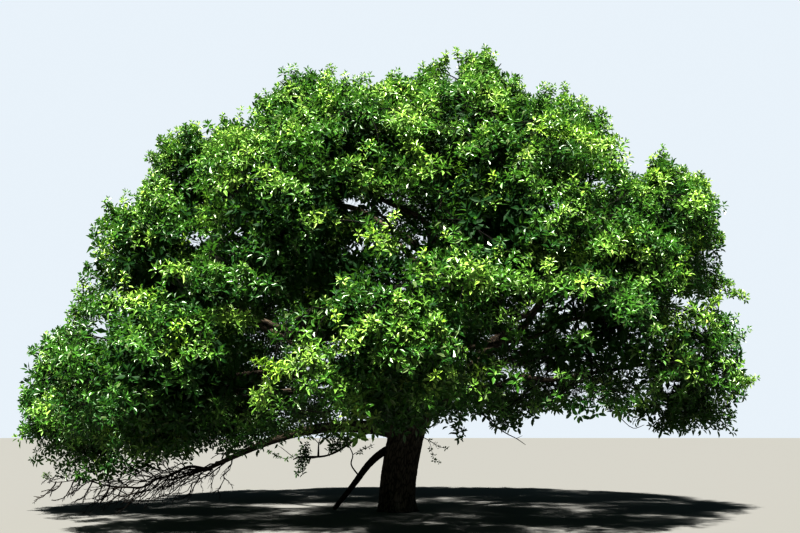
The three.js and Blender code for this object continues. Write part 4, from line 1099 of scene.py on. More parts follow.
def add_branchlet(
    mass, foliage, start, heading, tip, outward, random, spread=1.0, share=OUTLINE_SHARE, light=0.0,
):
    """A branchlet that leaves its twig, with a clump of leafy shoots at its end and a few along it."""
    path = branchlet_path(start, heading, tip)
    if any(seen_in(SKY_GAPS, point) for point in path.at(GAP_CHECKS)):
        return

    def grows(end, least):
        return can_grow(mass, end, least) and not missing(end, random)

    before = len(foliage.places)
    axis = unit(CLUMP_OUTWARD * outward + CLUMP_UPWARD * UP + random.normal(0, CLUMP_STRAY, 3))
    east, north = frame_round(axis)
    radius = spread * CLUMP_RADIUS * random.uniform(*CLUMP_RADII) * (0.5 + 0.5 * mass.scale)
    crowding = 1 + SHELF_SHOOTS * min(1, max(0, 2 * light))
    shoots = int(round(SHOOTS_PER_CLUMP * crowding * (radius / CLUMP_RADIUS) ** 2))
    phase = random.uniform(0, 2 * math.pi)
    green = choose_green(tip, outward, random, light)
    for j in range(shoots):
        ring = math.sqrt((j + 0.5) / shoots)
        turn = phase + j * GOLDEN_ANGLE
        sideways = math.cos(turn) * east + math.sin(turn) * north
        dome = -CLUMP_DOME * radius * ring**2 + random.uniform(-SHOOT_STRAY, SHOOT_STRAY)
        end = tip + radius * ring * sideways + dome * axis
        if not grows(end, share):
            continue
        foliage.add_shoot(path.at(mix(*SHOOT_ROOTS, ring) - SHOOT_ROOT_STRAY * random.random()), end)
        aim = unit(axis + SHOOT_SPLAY * ring * sideways + random.normal(0, SHOOT_AIM_STRAY, 3))
        # The clump's outer, lower leaves are painted a deeper green, as painted shade
        foliage.add_rosette(end, aim, random.uniform(*SHOOT_SIZES), min(DEEP, green + (ring > LOWER_RING)))
    add_leading_shoots(foliage, tip, axis, outward, green, share, grows, random)
    if len(foliage.places) > before:
        foliage.twigs.add_path(path, BRANCHLET_RADIUS, SHOOT_RADIUS, 5)
        add_side_rosettes(foliage, path, outward, grows, random)


def add_leading_shoots(foliage, tip, axis, outward, green, share, grows, random):
    """The few longer shoots that stand out of a clump, with younger leaves at their tips."""
    for _ in range(random.integers(0, MOST_LEADERS + 1)):
        lean = unit(axis + LEADER_OUTWARD * outward + random.normal(0, LEADER_STRAY, 3))
        end = tip + lean * random.uniform(*LEADER_REACH)
        if grows(end, min(share, LEADER_SHARE)):
            foliage.add_shoot(tip, end)
            foliage.add_rosette(mix(tip, end, LEADER_MIDDLE), lean, LEADER_SIZES[0], green)
            foliage.add_rosette(end, lean, LEADER_SIZES[1], max(NEW, green - 1))


def add_side_rosettes(foliage, path, outward, grows, random):
    """The darker leaves on short shoots along a branchlet."""
    for _ in range(SIDE_ROSETTES):
        root = path.at(random.uniform(*SIDE_PLACES))
        aim = unit(outward + UP + random.normal(0, SIDE_STRAY, 3))
        end = root + SIDE_REACH * aim
        if grows(end, SIDE_SHARE):
            foliage.add_shoot(root, end)
            foliage.add_rosette(end, aim, SIDE_SIZE, DEEP - (random.random() < SIDE_SUMMER))


def can_grow(mass, end, share):
    """True where a shoot may end: in the crown, in its own mass's space, off the ground, not in a gap."""
    if end[2] < GROUND_GAP + SHOOT_CLEARANCE or seen_in(SKY_GAPS, end) or not in_room(end):
        return False
    if end[1] < CLEARING_BACK and seen_in(CLEARINGS, end):
        return False
    slack = SPACE_SLACK + (SHOOT_SLACK if share else TUFT_SLACK)
    return crown_share(end) > share and mass.owns(end, slack)


def missing(point, random):
    """True for a shoot that a thin place of the crown lacks."""
    if seen_in(THIN_PLACES, point):
        between, in_speck = MISSING_IN_THIN
    elif seen_in(PARTLY_THIN, point):
        between, in_speck = MISSING_IN_PARTLY_THIN
    else:
        return False
    speck = noise.noise(Vector(SPECKS * seen_from_front(point))) > SPECK_LEVEL
    return random.random() < (in_speck if speck else between)


def in_room(point):
    """True for a point no further than the room beyond the solids' box."""
    return (point > np.array(cad_low) - ROOM).all() and (point < np.array(cad_high) + ROOM).all()


def kinked(start, leave, arrive, length, random, steps=7):
    """A twig that zigzags from one direction round to another."""
    points = [start]
    for i in range(steps):
        heading = unit(mix(leave, arrive, i / (steps - 1)) + random.normal(0, KINK, 3))
        points.append(points[-1] + heading * length / steps)
    points = np.array(points)
    points[:, 2] = np.maximum(points[:, 2], LOWEST_TWIG)
    return points


def add_dead_twig(strands, points, radius, random, orders=2):
    """A dead twig, and the finer ones along it."""
    strands.add(points, np.linspace(radius, BARE_TAPER * radius, len(points)))
    if not orders:
        return
    path = Path(points)
    for share in FINER_SITES + random.uniform(-FINER_SITE_STRAY, FINER_SITE_STRAY, len(FINER_SITES)):
        heading = path.heading(share)
        side = random.normal(0, 1, 3) * FINER_SPREAD
        side = unit(side - (side @ heading) * heading)
        length = path.length * random.uniform(*FINER_LENGTHS) * (FINER_ROOT_GAIN - FINER_TIP_LOSS * share)
        leave, arrive = unit(heading + side), unit(heading + FINER_TURN * side)
        finer = kinked(path.at(share), leave, arrive, length, random, FINER_KINKS)
        add_dead_twig(strands, finer, FINER_RADIUS * radius, random, orders - 1)


def dead_wood():
    """The fan of dead twigs at the end of the low left limb: the source's own, and others along the limb."""
    random = np.random.default_rng(DEAD_WOOD_SEED)
    strands = Strands()
    stem, twigs = mass_twigs(bare_twigs)
    for twig in [stem, *twigs]:
        points = twig.at(np.linspace(0, 1, FAN_TWIG_POINTS))
        points[1:] += random.normal(0, FAN_TWIG_STRAY, (FAN_TWIG_POINTS - 1, 3))
        add_dead_twig(strands, points, FAN_TWIG_RADIUS, random)
    bearers = [(low_limb.path, share) for share in LIMB_END_SITES]
    bearers += [(Path(DEAD_BOUGH), share) for share in np.linspace(*DEAD_TWIG_STARTS, DEAD_TWIGS)]
    for k, (path, share) in enumerate(bearers):
        aside = vec(0, random.uniform(-DEAD_ASIDE, DEAD_ASIDE), 0)
        leave = unit(DEAD_LEAVE + aside) * (1 if k % RISING_EVERY else RISING)
        length = random.uniform(*DEAD_TWIG_LENGTHS) * (1 - DEAD_TWIG_LOSS * share)
        points = kinked(path.at(share), leave, unit(DEAD_ARRIVE + aside), length, random)
        add_dead_twig(strands, points, DEAD_TWIG_RADIUS, random)
    shares = np.linspace(LONG_TWIG_START, 1, len(LONG_DEAD_TWIGS))
    for (x, z), share in zip(LONG_DEAD_TWIGS, shares):
        start, end = low_limb.path.at(share), vec(x, random.uniform(*LONG_TWIG_DEPTHS), z)
        add_dead_twig(strands, crooked(start, end, random), LONG_TWIG_RADIUS, random)
    return strands


def crooked(start, end, random, steps=9):
    """A long twig that bends this way and that on its way from one point to another."""
    t = np.linspace(0, 1, steps + 1)[:, None]
    stray = CROOKEDNESS * np.linalg.norm(end - start) * random.normal(0, 1, (steps + 1, 3))
    return mix(start, end, t) + np.sqrt(np.sin(math.pi * np.clip(t, 0, 1)).clip(0)) * stray


def add_spray(foliage, start, tip, random):
    """A twig with leafy shoots all round it, longer towards its root."""
    length = np.linalg.norm(tip - start)
    path = Path(bezier(start, (start + tip) / 2 + SPRAY_ARCH * length * UP, tip, steps=12))
    foliage.twigs.add_path(path, SPRAY_RADIUS, SHOOT_RADIUS, 6)
    # Sprays at the outline are painted in the sunlit greens, as painted light
    green = SUNLIT + random.integers(0, 2)
    sideways, onward, upward = SPRAY_AIM
    for share in np.arange(SPRAY_START, 1.01, SPRAY_SPACING / length):
        heading = path.heading(share)
        side = unit(random.normal(0, 1, 3) + SPRAY_LIFT * UP)
        side = unit(side - SPRAY_ACROSS * (side @ heading) * heading)
        root = path.at(share)
        end = root + mix(*SPRAY_REACH, share) * random.uniform(*SPRAY_REACHES) * side
        foliage.add_shoot(root, end)
        aim = unit(sideways * side + onward * heading + upward * UP)
        # Shoots on the underside are painted a deeper green, as painted shade
        own_green = min(DEEP, green + (side[2] < SPRAY_UNDERSIDE))
        foliage.add_rosette(end, aim, random.uniform(*SPRAY_SIZES), own_green)


def add_lone_shoots(foliage):
    """The shoots that show one by one, the sprays at the outline, and the leaves of the hanging shoot."""
    random = np.random.default_rng(LONE_SHOOT_SEED)
    for radius, *points in BARE_SHOOTS + LEAFY_SHOOTS:
        curve = through(points, CURVE_STEPS)
        foliage.twigs.add(curve, np.linspace(radius, BARE_TAPER * radius, len(curve)))
    for _, *points in LEAFY_SHOOTS:
        path = Path(through(points, CURVE_STEPS))
        for share in np.arange(LONE_START, 1.01, LONE_SPACING / path.length):
            aim = unit(random.normal(0, LONE_STRAY, 3) + LONE_LIFT * UP)
            foliage.add_rosette(path.at(share), aim, random.uniform(*LONE_SIZES), SUMMER)
    for start, tip in np.array(SPRAYS):
        add_spray(foliage, start, tip, random)
    dress_hanging_shoot(foliage, random)
    for _ in range(LAST_LEAVES):
        place = np.array(DEAD_BOUGH[-1]) + random.normal(0, LAST_SPREAD, 3)
        foliage.add_rosette(place, UP, LAST_SIZE, FRESH)


def dress_hanging_shoot(foliage, random):
    """The leaves round the hanging shoot, and those that fall from its tip."""
    for share in np.linspace(HANGING_START, 1, HANGING_ROSETTES):
        root = shoot.path.at(share)
        place = root + random.uniform(*HANGING_ROOM)
        foliage.add_shoot(root, place)
        aim = unit(random.normal(0, HANGING_STRAY, 3) + UP)
        foliage.add_rosette(place, aim, random.uniform(*HANGING_SIZES), FRESH + (share > HANGING_DEEPER))
    for fall in np.linspace(0, 1, FALLING_ROSETTES):
        place = mix(FALL_TOP, FALL_FOOT, fall) + random.normal(0, FALL_SPREAD, 3)
        aim = unit(random.normal(0, FALL_STRAY, 3) - FALL_DROP * UP)
        foliage.add_rosette(place, aim, random.uniform(*FALL_SIZES), DEEP)


def choose_green(place, outward, random, light):
    """The green of a whole spray: brighter high up, facing up and on a shelf, deeper low down, facing down
    and in a hollow; partly the leaves' age, partly painted light and painted shade.
    """
    patch = noise.noise(Vector(place * GREEN_PATCHES))
    height = OUTWARD_HIGH * outward[2] + HEIGHT_HIGH * (place[2] - CROWN_FOOT) + PATCH_HIGH * patch + light
    shares = LIT_GREENS if light > FULLY_LIT else mix(LOW_GREENS, HIGH_GREENS, np.clip(height, 0, 1))
    return int(random.choice(len(shares), p=shares / shares.sum()))


# Leaf meshes
def leaf_blade(root, rib, face, length):
    """The six corners of a blade, folded along its midrib."""
    half = 0.5 * LEAF_WIDTH * length
    side = half * np.cross(rib, face)
    lift = LEAF_FOLD * half * face
    sections = [(root + along * length * rib, width) for along, width in BLADE_SECTIONS]
    right = [middle + width * (side + lift) for middle, width in sections]
    left = [middle + width * (lift - side) for middle, width in reversed(sections)]
    return [root, *right, root + length * (rib - LEAF_DROOP * face), *left]


LEAF_FACES = ((0, 1, 2), (0, 2, 3), (0, 3, 4), (0, 4, 5))


def plain_blade(root, rib, face, length):
    """The four corners of an inner leaf, which has two faces."""
    half = 0.5 * LEAF_WIDTH * length * np.cross(rib, face)
    middle = root + 0.5 * length * rib + LEAF_FOLD * 0.5 * LEAF_WIDTH * length * face
    return [root, middle + half, root + length * rib, middle - half]


PLAIN_FACES = ((0, 1, 2), (0, 2, 3))


def rosette_mesh(name, tilts, sizes, random, blade=leaf_blade, blade_faces=LEAF_FACES):
    """A star of leaves round a shoot's tip, one for each tilt from the shoot's axis."""
    corners, faces = [], []
    for i, (tilt, size) in enumerate(zip(tilts, sizes)):
        turn = i * GOLDEN_ANGLE + random.normal(0, TURN_STRAY)
        lean = math.radians(tilt + random.normal(0, TILT_STRAY))
        away = vec(math.cos(turn), math.sin(turn), 0)
        rib = math.sin(lean) * away + math.cos(lean) * UP
        face = math.sin(lean) * UP - math.cos(lean) * away
        face = unit(face + random.normal(0, ROLL_STRAY) * np.cross(rib, face))
        root = -ROSETTE_DEPTH * i / len(tilts) * UP + LEAF_STALK * rib
        first = len(corners)
        corners += blade(root, rib, face, LEAF_LENGTH * size)
        faces += [tuple(first + k for k in face_corners) for face_corners in blade_faces]
    mesh = bpy.data.meshes.new(name)
    mesh.from_pydata([tuple(c) for c in corners], [], faces)
    return bpy.data.objects.new(name, mesh)


def rosette_kinds():
    """Kinds of rosette: whorls of green leaves, plainer inner ones, and leaves that show their pale backs,
    partly painted glints.
    """
    random = np.random.default_rng(ROSETTE_SEED)
    green = bpy.data.collections.new("green_rosettes")
    inner = bpy.data.collections.new("inner_rosettes")
    pale = bpy.data.collections.new("turned_leaves")
    for k in range(ROSETTE_KINDS):
        n = LEAVES_PER_ROSETTE + (k % 3 - 1)
        tilts = np.linspace(*ROSETTE_TILTS, n)
        sizes = np.linspace(*ROSETTE_SIZES, n) * random.uniform(*ROSETTE_SIZE_STRAY, n)
        green.objects.link(rosette_mesh(f"rosette_{k}", tilts, sizes, random))
        inner.objects.link(rosette_mesh(f"inner_{k}", tilts, sizes, random, plain_blade, PLAIN_FACES))
        turned = random.uniform(*TURNED_TILTS, 1)
        pale.objects.link(rosette_mesh(f"turned_{k}", turned, [TURNED_SIZE], random))
    return green, inner, pale


# Bark and wood
class Spine:
    """Stations along a stretch of a limb's axis, with its radius, and directions across that don't twist."""

    def __init__(self, path, radius_at, start=0.0, end=1.0, across=None):
        length = (end - start) * path.length
        shares = np.linspace(start, end, max(FEWEST_STEPS, round(length / TUBE_SPACING)) + 1)
        self.centres, self.headings = path.at(shares), path.heading(shares)
        self.radii, self.along = radius_at(shares), shares * path.length
        side = frame_round(self.headings[0])[0] if across is None else across
        sides = []
        for heading in self.headings:
            side = unit(side - (side @ heading) * heading)
            sides.append(side)
        self.sides = np.array(sides)
        self.fronts = np.cross(self.headings, self.sides)

    def outward(self, count):
        """The directions from each station to each side of its ring."""
        turn = 2 * math.pi * np.arange(count)[:, None] / count
        return np.cos(turn) * self.sides[:, None] + np.sin(turn) * self.fronts[:, None]

    def read(self, points):
        """How far each point is from the limb, its place in the limb drawn straight, and the radius."""
        offset = points[:, None] - self.centres
        gap = np.linalg.norm(offset, axis=2) - self.radii
        nearest = gap.argmin(1)
        row = np.arange(len(points))
        offset = offset[row, nearest]
        beyond = (offset * self.headings[nearest]).sum(1)
        place = np.stack([
            (offset * self.sides[nearest]).sum(1),
            (offset * self.fronts[nearest]).sum(1),
            self.along[nearest] + beyond,
        ], 1)
        return gap[row, nearest], place, self.radii[nearest]


def tube(spine, reach, tip=0.5):
    """Corners and faces of a closed tube: "reach" is how far each side of each ring is from the axis."""
    rings, count = reach.shape
    corners = spine.centres[:, None] + reach[..., None] * spine.outward(count)
    ends = [spine.centres[0], spine.centres[-1] + tip * reach[-1].mean() * spine.headings[-1]]
    faces = []
    for i in range(rings - 1):
        for j in range(count):
            a, b = i * count + j, i * count + (j + 1) % count
            faces.append((a, b, b + count, a + count))
    last = (rings - 1) * count
    for j in range(count):
        following = (j + 1) % count
        faces.append((rings * count, following, j))
        faces.append((rings * count + 1, last + j, last + following))
    return np.concatenate([corners.reshape(-1, 3), ends]), faces


def smooth_step(share):
    share = np.clip(share, 0, 1)
    return share * share * (3 - 2 * share)


def bark_relief(place, radius):
    """How far the bark stands out at a place of a straightened limb, and how deep in a crack the place is."""
    thickness = radius / TRUNK_RADIUS
    size = min(1.0, max(THINNEST, thickness)) ** 0.5
    plates = Vector(place / (PLATE * size))
    warped = plates + PLATE_WARP * noise.noise_vector(WARP_WAVES * plates)
    (first, second, *_), _ = noise.voronoi(warped)
    crack = 1 - smooth_step((second - first) / CRACK_WIDTH)
    flutes = noise.noise(Vector(place * FLUTES))
    rough = noise.fractal(ROUGH_WAVES * plates, ROUGH_FALLOFF, ROUGH_RATIO, ROUGH_LAYERS)
    out = size**2 * (FLUTE_DEPTH * flutes * min(1, thickness) + ROUGH_DEPTH * rough - CRACK_DEPTH * crack)
    return out, crack


def read_relief(places, radii):
    values = np.array([bark_relief(place, radius) for place, radius in zip(places, radii)])
    return values[:, 0], values[:, 1]


def mark_bark(mesh, places, cracks):
    """Notes the grain and the cracks of the bark for its material."""
    grain = mesh.attributes.new("grain", "FLOAT_VECTOR", "POINT")
    grain.data.foreach_set("vector", (places * [1, 1, GRAIN_STRETCH]).ravel())
    crack = mesh.attributes.new("crack", "FLOAT", "POINT")
    crack.data.foreach_set("value", cracks)
    mesh.polygons.foreach_set("use_smooth", [True] * len(mesh.polygons))


def join_parts(name, parts):
    """One mesh of several forms, each given as its corners and faces."""
    corners, faces = [], []
    for points, own_faces in parts:
        first = sum(len(part) for part in corners)
        faces += [tuple(first + k for k in face) for face in own_faces]
        corners.append(points)
    mesh = bpy.data.meshes.new(name)
    mesh.from_pydata(np.concatenate(corners).tolist(), [], faces)
    return mesh


def bark_tubes(name, spines):
    """Closed tubes with bark relief, as one mesh."""
    parts, places, cracks = [], [], []
    for spine in spines:
        count = int(np.clip(2 * math.pi * spine.radii.max() / TUBE_SPACING, *TUBE_SIDES))
        turn = 2 * math.pi * np.arange(count) / count
        straight = np.stack(np.broadcast_arrays(
            np.cos(turn) * spine.radii[:, None], np.sin(turn) * spine.radii[:, None], spine.along[:, None],
        ), -1).reshape(-1, 3)
        out, crack = read_relief(straight, np.repeat(spine.radii, count))
        parts.append(tube(spine, spine.radii[:, None] + out.reshape(-1, count)))
        places.append(np.concatenate([straight, [[0, 0, spine.along[0]], [0, 0, spine.along[-1]]]]))
        cracks.append(np.concatenate([crack, [0, 0]]))
    mesh = join_parts(name, parts)
    mark_bark(mesh, np.concatenate(places), np.concatenate(cracks))
    return mesh


def trunk_spine():
    path = Path(trunk_axis(TRUNK_RINGS))
    return Spine(path, lambda share: trunk_radius(share * TRUNK_TOP, math.pi / 2), across=vec(1, 0, 0))


def wrapped_skin(name, parts):
    """Forms that cross one another as one skin, wrapped on a fine grid and smoothed."""
    wrapped = bpy.data.objects.new(name, join_parts(name, parts))
    bpy.context.scene.collection.objects.link(wrapped)
    remesh = wrapped.modifiers.new("wrap", "REMESH")
    remesh.mode = "VOXEL"
    remesh.voxel_size = SKIN_CELL
    smoothing = wrapped.modifiers.new("soften", "SMOOTH")
    smoothing.iterations = SKIN_SMOOTHING
    bpy.context.view_layer.update()
    mesh = bpy.data.meshes.new_from_object(wrapped.evaluated_get(bpy.context.evaluated_depsgraph_get()))
    bpy.data.objects.remove(wrapped)
    return mesh


def read_spines(spines, points):
    """How far each point is from each limb, its place in the limb drawn straight, and the radius."""
    readings = []
    for spine in spines:
        chunks = [spine.read(part) for part in np.array_split(points, READ_PARTS)]
        readings.append([np.concatenate(values) for values in zip(*chunks)])
    return [np.array(values) for values in zip(*readings)]


def skin_mesh(name, roots):
    """The trunk and its limbs' roots as one skin with bark relief, which fades out where two of them meet."""
    trunk = trunk_spine()
    turn = 2 * math.pi * np.arange(SKIN_SIDES) / SKIN_SIDES
    parts = [tube(trunk, trunk_radius(trunk.centres[:, 2:], turn), tip=0)]
    parts += [tube(root, np.repeat(root.radii[:, None], ROOT_SIDES, 1)) for root in roots]
    mesh = wrapped_skin(name, parts)

    points = np.empty(3 * len(mesh.vertices))
    mesh.vertices.foreach_get("co", points)
    points = points.reshape(-1, 3)
    normals = np.empty(3 * len(mesh.vertices))
    mesh.vertex_normals.foreach_get("vector", normals)
    gaps, places, radii = read_spines([trunk, *roots], points)
    owner, row = gaps.argmin(0), np.arange(len(points))
    nearest_two = np.sort(gaps, axis=0)[:2]
    clear = smooth_step((nearest_two[1] - nearest_two[0]) / JOIN_WIDTH)
    places = places[owner, row]
    out, crack = read_relief(places, radii[owner, row])
    points = points + (out * clear)[:, None] * normals.reshape(-1, 3)
    points[:, 2] = np.maximum(0, points[:, 2])
    mesh.vertices.foreach_set("co", points.ravel())
    mark_bark(mesh, places, crack * clear)
    return mesh


# Node trees
def add(tree, kind, inputs=None, **settings):
    """Adds one node, with its settings, and with values or links for its inputs."""
    node = tree.nodes.new(kind)
    for name, value in settings.items():
        setattr(node, name, value)
    for name, value in (inputs or {}).items():
        if isinstance(value, bpy.types.NodeSocket):
            tree.links.new(value, node.inputs[name])
        else:
            node.inputs[name].default_value = value
    return node


def geometry_tree(name, sockets):
    """A geometry tree with named inputs, and the node that gives them."""
    tree = bpy.data.node_groups.new(name, "GeometryNodeTree")
    tree.interface.new_socket("Geometry", in_out="INPUT", socket_type="NodeSocketGeometry")
    for socket, kind in sockets.items():
        tree.interface.new_socket(socket, in_out="INPUT", socket_type=kind)
    tree.interface.new_socket("Geometry", in_out="OUTPUT", socket_type="NodeSocketGeometry")
    return tree, add(tree, "NodeGroupInput")


def twig_tree():
    """Lines become round twigs of their own thickness."""
    tree, given = geometry_tree(
        "twigs_on_lines", {"Sides": "NodeSocketInt", "Material": "NodeSocketMaterial"},
    )
    lines = add(tree, "GeometryNodeMeshToCurve", {"Mesh": given.outputs["Geometry"]})
    thickness = add(tree, "GeometryNodeInputNamedAttribute", {"Name": "thickness"}, data_type="FLOAT")
    ring = add(
        tree, "GeometryNodeCurvePrimitiveCircle", {"Resolution": given.outputs["Sides"], "Radius": 1.0},
    )
    tubes = add(
        tree, "GeometryNodeCurveToMesh",
        {
            "Curve": lines.outputs["Curve"],
            "Profile Curve": ring.outputs["Curve"],
            "Scale": thickness.outputs["Attribute"],
            "Fill Caps": True,
        },
    )
    pointed = add(
        tree, "GeometryNodeMergeByDistance", {"Geometry": tubes.outputs["Mesh"], "Distance": TIP_WELD},
    )
    finish_tree(tree, pointed.outputs["Geometry"], given)
    return tree


def leaf_tree():
    """Each point becomes a rosette of leaves, turned to its aim."""
    tree, given = geometry_tree(
        "rosettes_on_shoots", {"Rosettes": "NodeSocketCollection", "Material": "NodeSocketMaterial"},
    )
    kinds = add(
        tree, "GeometryNodeCollectionInfo",
        {"Collection": given.outputs["Rosettes"], "Separate Children": True, "Reset Children": True},
    )
    fields = {}
    for field, kind in ROSETTE_FIELDS.items():
        value = add(tree, "GeometryNodeInputNamedAttribute", {"Name": field}, data_type=kind)
        fields[field] = value.outputs["Attribute"]
    aimed = add(tree, "FunctionNodeAlignRotationToVector", {"Vector": fields["aim"]}, axis="Z")
    turn = add(tree, "FunctionNodeAxisAngleToRotation", {"Axis": (0, 0, 1), "Angle": fields["spin"]})
    turned = add(
        tree, "FunctionNodeRotateRotation",
        {"Rotation": aimed.outputs["Rotation"], "Rotate By": turn.outputs["Rotation"]},
        rotation_space="LOCAL",
    )
    placed = add(
        tree, "GeometryNodeInstanceOnPoints",
        {
            "Points": given.outputs["Geometry"],
            "Instance": kinds.outputs["Instances"],
            "Pick Instance": True,
            "Instance Index": fields["kind"],
            "Rotation": turned.outputs["Rotation"],
            "Scale": fields["size"],
        },
    )
    finish_tree(tree, placed.outputs["Instances"], given)
    return tree


def finish_tree(tree, geometry, given):
    """Ends a tree in real geometry with its material."""
    real = add(tree, "GeometryNodeRealizeInstances", {"Geometry": geometry})
    dressed = add(
        tree, "GeometryNodeSetMaterial",
        {"Geometry": real.outputs["Geometry"], "Material": given.outputs["Material"]},
    )
    add(tree, "NodeGroupOutput", {"Geometry": dressed.outputs["Geometry"]})


def grown_piece(name, mesh, tree, values):
    """The plain mesh that a geometry tree makes of a starting mesh."""
    seed = bpy.data.objects.new(name + "_seed", mesh)
    bpy.context.scene.collection.objects.link(seed)
    modifier = seed.modifiers.new("grow", "NODES")
    modifier.node_group = tree
    for item in tree.interface.items_tree:
        if item.in_out == "INPUT" and item.name in values:
            modifier[item.identifier] = values[item.name]
    bpy.context.view_layer.update()
    evaluated = seed.evaluated_get(bpy.context.evaluated_depsgraph_get())
    made = bpy.data.meshes.new_from_object(evaluated)
    bpy.data.objects.remove(seed)
    for spent in [item.name for item in made.attributes if item.name in ("thickness", *ROSETTE_FIELDS)]:
        made.attributes.remove(made.attributes[spent])
    return new_piece(name, made)


def new_piece(name, mesh):
    mesh.name = name
    piece = bpy.data.objects.new(name, mesh)
    bpy.context.scene.collection.objects.link(piece)
    return piece


# Materials
def linear(code):
    """A colour for a shader from its sRGB hex value."""
    channels = [int(code[i:i + 2], 16) / 255 for i in (1, 3, 5)]
    return (*(c / 12.92 if c <= 0.04045 else ((c + 0.055) / 1.055) ** 2.4 for c in channels), 1.0)


def new_material(name):
    material = bpy.data.materials.new(name)
    material.use_nodes = True
    material.node_tree.nodes.clear()
    return material, material.node_tree


def leaf_material(name, code, glow, through_share=0.2, roughness=0.4, gloss=0.72):
    """Leaf blade: a waxy upper skin with a soft gloss, thin enough that light comes through it yellower."""
    material, tree = new_material(name)
    skin = add(
        tree, "ShaderNodeBsdfPrincipled",
        {"Base Color": linear(code), "Roughness": roughness, "IOR": 1.45, "Specular IOR Level": gloss},
    )
    thin = add(tree, "ShaderNodeBsdfTranslucent", {"Color": linear(glow)})
    both = add(
        tree, "ShaderNodeMixShader",
        {"Fac": through_share, 1: skin.outputs["BSDF"], 2: thin.outputs["BSDF"]},
    )
    add(tree, "ShaderNodeOutputMaterial", {"Surface": both.outputs["Shader"]})
    return material


def bark_material(name, plate, crevice, lichen):
    """Old bark: dry and matt, in long plates that darken into their cracks, with a little grey lichen."""
    material, tree = new_material(name)
    grain = add(tree, "ShaderNodeAttribute", attribute_name="grain")
    crack = add(tree, "ShaderNodeAttribute", attribute_name="crack")
    streaks = add(
        tree, "ShaderNodeTexNoise",
        {"Vector": grain.outputs["Vector"], "Scale": STREAKS, "Detail": 6.0, "Roughness": 0.7},
    )
    depth = add(
        tree, "ShaderNodeMath", {0: streaks.outputs["Fac"], 1: 0.9, 2: crack.outputs["Fac"]},
        operation="MULTIPLY_ADD",
    )
    dark = add(
        tree, "ShaderNodeMapRange", {"Value": depth.outputs["Value"], "From Min": 0.35, "From Max": 1.2},
    )
    plates = add(
        tree, "ShaderNodeMix",
        {"Factor": dark.outputs["Result"], "A": linear(plate), "B": linear(crevice)}, data_type="RGBA",
    )
    patches = add(
        tree, "ShaderNodeTexNoise",
        {"Vector": grain.outputs["Vector"], "Scale": LICHEN_PATCHES, "Detail": 6.0, "Roughness": 0.65},
    )
    patch_share = add(
        tree, "ShaderNodeMapRange",
        {"Value": patches.outputs["Fac"], "From Min": 0.55, "From Max": 0.75, "To Max": 0.5},
    )
    colour = add(
        tree, "ShaderNodeMix",
        {"Factor": patch_share.outputs["Result"], "A": plates.outputs["Result"], "B": linear(lichen)},
        data_type="RGBA",
    )
    bump = add(
        tree, "ShaderNodeBump", {"Height": streaks.outputs["Fac"], "Strength": 0.8, "Distance": 0.006},
    )
    skin = add(
        tree, "ShaderNodeBsdfPrincipled",
        {"Base Color": colour.outputs["Result"], "Roughness": 0.92, "Normal": bump.outputs["Normal"]},
    )
    skin.inputs["Specular IOR Level"].default_value = 0.25
    add(tree, "ShaderNodeOutputMaterial", {"Surface": skin.outputs["BSDF"]})
    return material


def twig_material(name, code):
    """Thin bark of young wood: smooth and dull, and dark, partly as painted shade."""
    material, tree = new_material(name)
    skin = add(
        tree, "ShaderNodeBsdfPrincipled",
        {"Base Color": linear(code), "Roughness": 0.85, "Specular IOR Level": 0.2},
    )
    add(tree, "ShaderNodeOutputMaterial", {"Surface": skin.outputs["BSDF"]})
    return material


# Grow the crown
foliage = Foliage()
for mass in leafy:
    grow_mass(mass, foliage, np.random.default_rng(mass.seed))
add_lone_shoots(foliage)

# The twigs' near-black is partly painted shade, for twigs in the crown's shade
twig_bark = twig_material("twig_bark", "#100e0b")
dead_twig_bark = twig_material("dead_twig_bark", "#231d17")
twigs_on_lines = twig_tree()
twig_piece = grown_piece(
    "twigs", foliage.twigs.mesh("twigs"), twigs_on_lines, {"Sides": 4, "Material": twig_bark},
)
shoot_piece = grown_piece(
    "leafy_shoots", foliage.shoots.mesh("shoots"), twigs_on_lines, {"Sides": 3, "Material": twig_bark},
)

green_rosettes, inner_rosettes, turned_leaves = rosette_kinds()
rosettes_on_shoots = leaf_tree()
places = np.array(foliage.places)
greens = np.array(foliage.greens)
random = np.random.default_rng(SPIN_SEED)
rosette_values = {
    "aim": np.array(foliage.aims),
    "spin": random.uniform(0, 2 * math.pi, len(places)),
    "size": np.array(foliage.sizes),
    "kind": random.integers(0, ROSETTE_KINDS, len(places)),
}


def point_mesh(name, chosen):
    """The points of the chosen rosettes, with the values that their geometry tree reads."""
    mesh = bpy.data.meshes.new(name)
    mesh.vertices.add(len(chosen))
    mesh.vertices.foreach_set("co", places[chosen].ravel())
    for field, kind in ROSETTE_FIELDS.items():
        attribute = mesh.attributes.new(field, kind, "POINT")
        property_name = "vector" if kind == "FLOAT_VECTOR" else "value"
        attribute.data.foreach_set(property_name, rosette_values[field][chosen].ravel())
    return mesh


def leaf_parts(name, chosen, rosettes, material, triangles):
    """The leaves of one kind, in as many pieces as keep each one small, from left to right."""
    order = np.flatnonzero(chosen)
    order = order[np.argsort(places[order, 0], kind="stable")]
    parts = np.array_split(order, math.ceil(triangles * len(order) / PIECE_TRIANGLES))
    values = {"Rosettes": rosettes, "Material": material}
    return [
        grown_piece(f"{name}_{k + 1}", point_mesh(name, np.sort(part)), rosettes_on_shoots, values)
        for k, part in enumerate(parts)
    ]


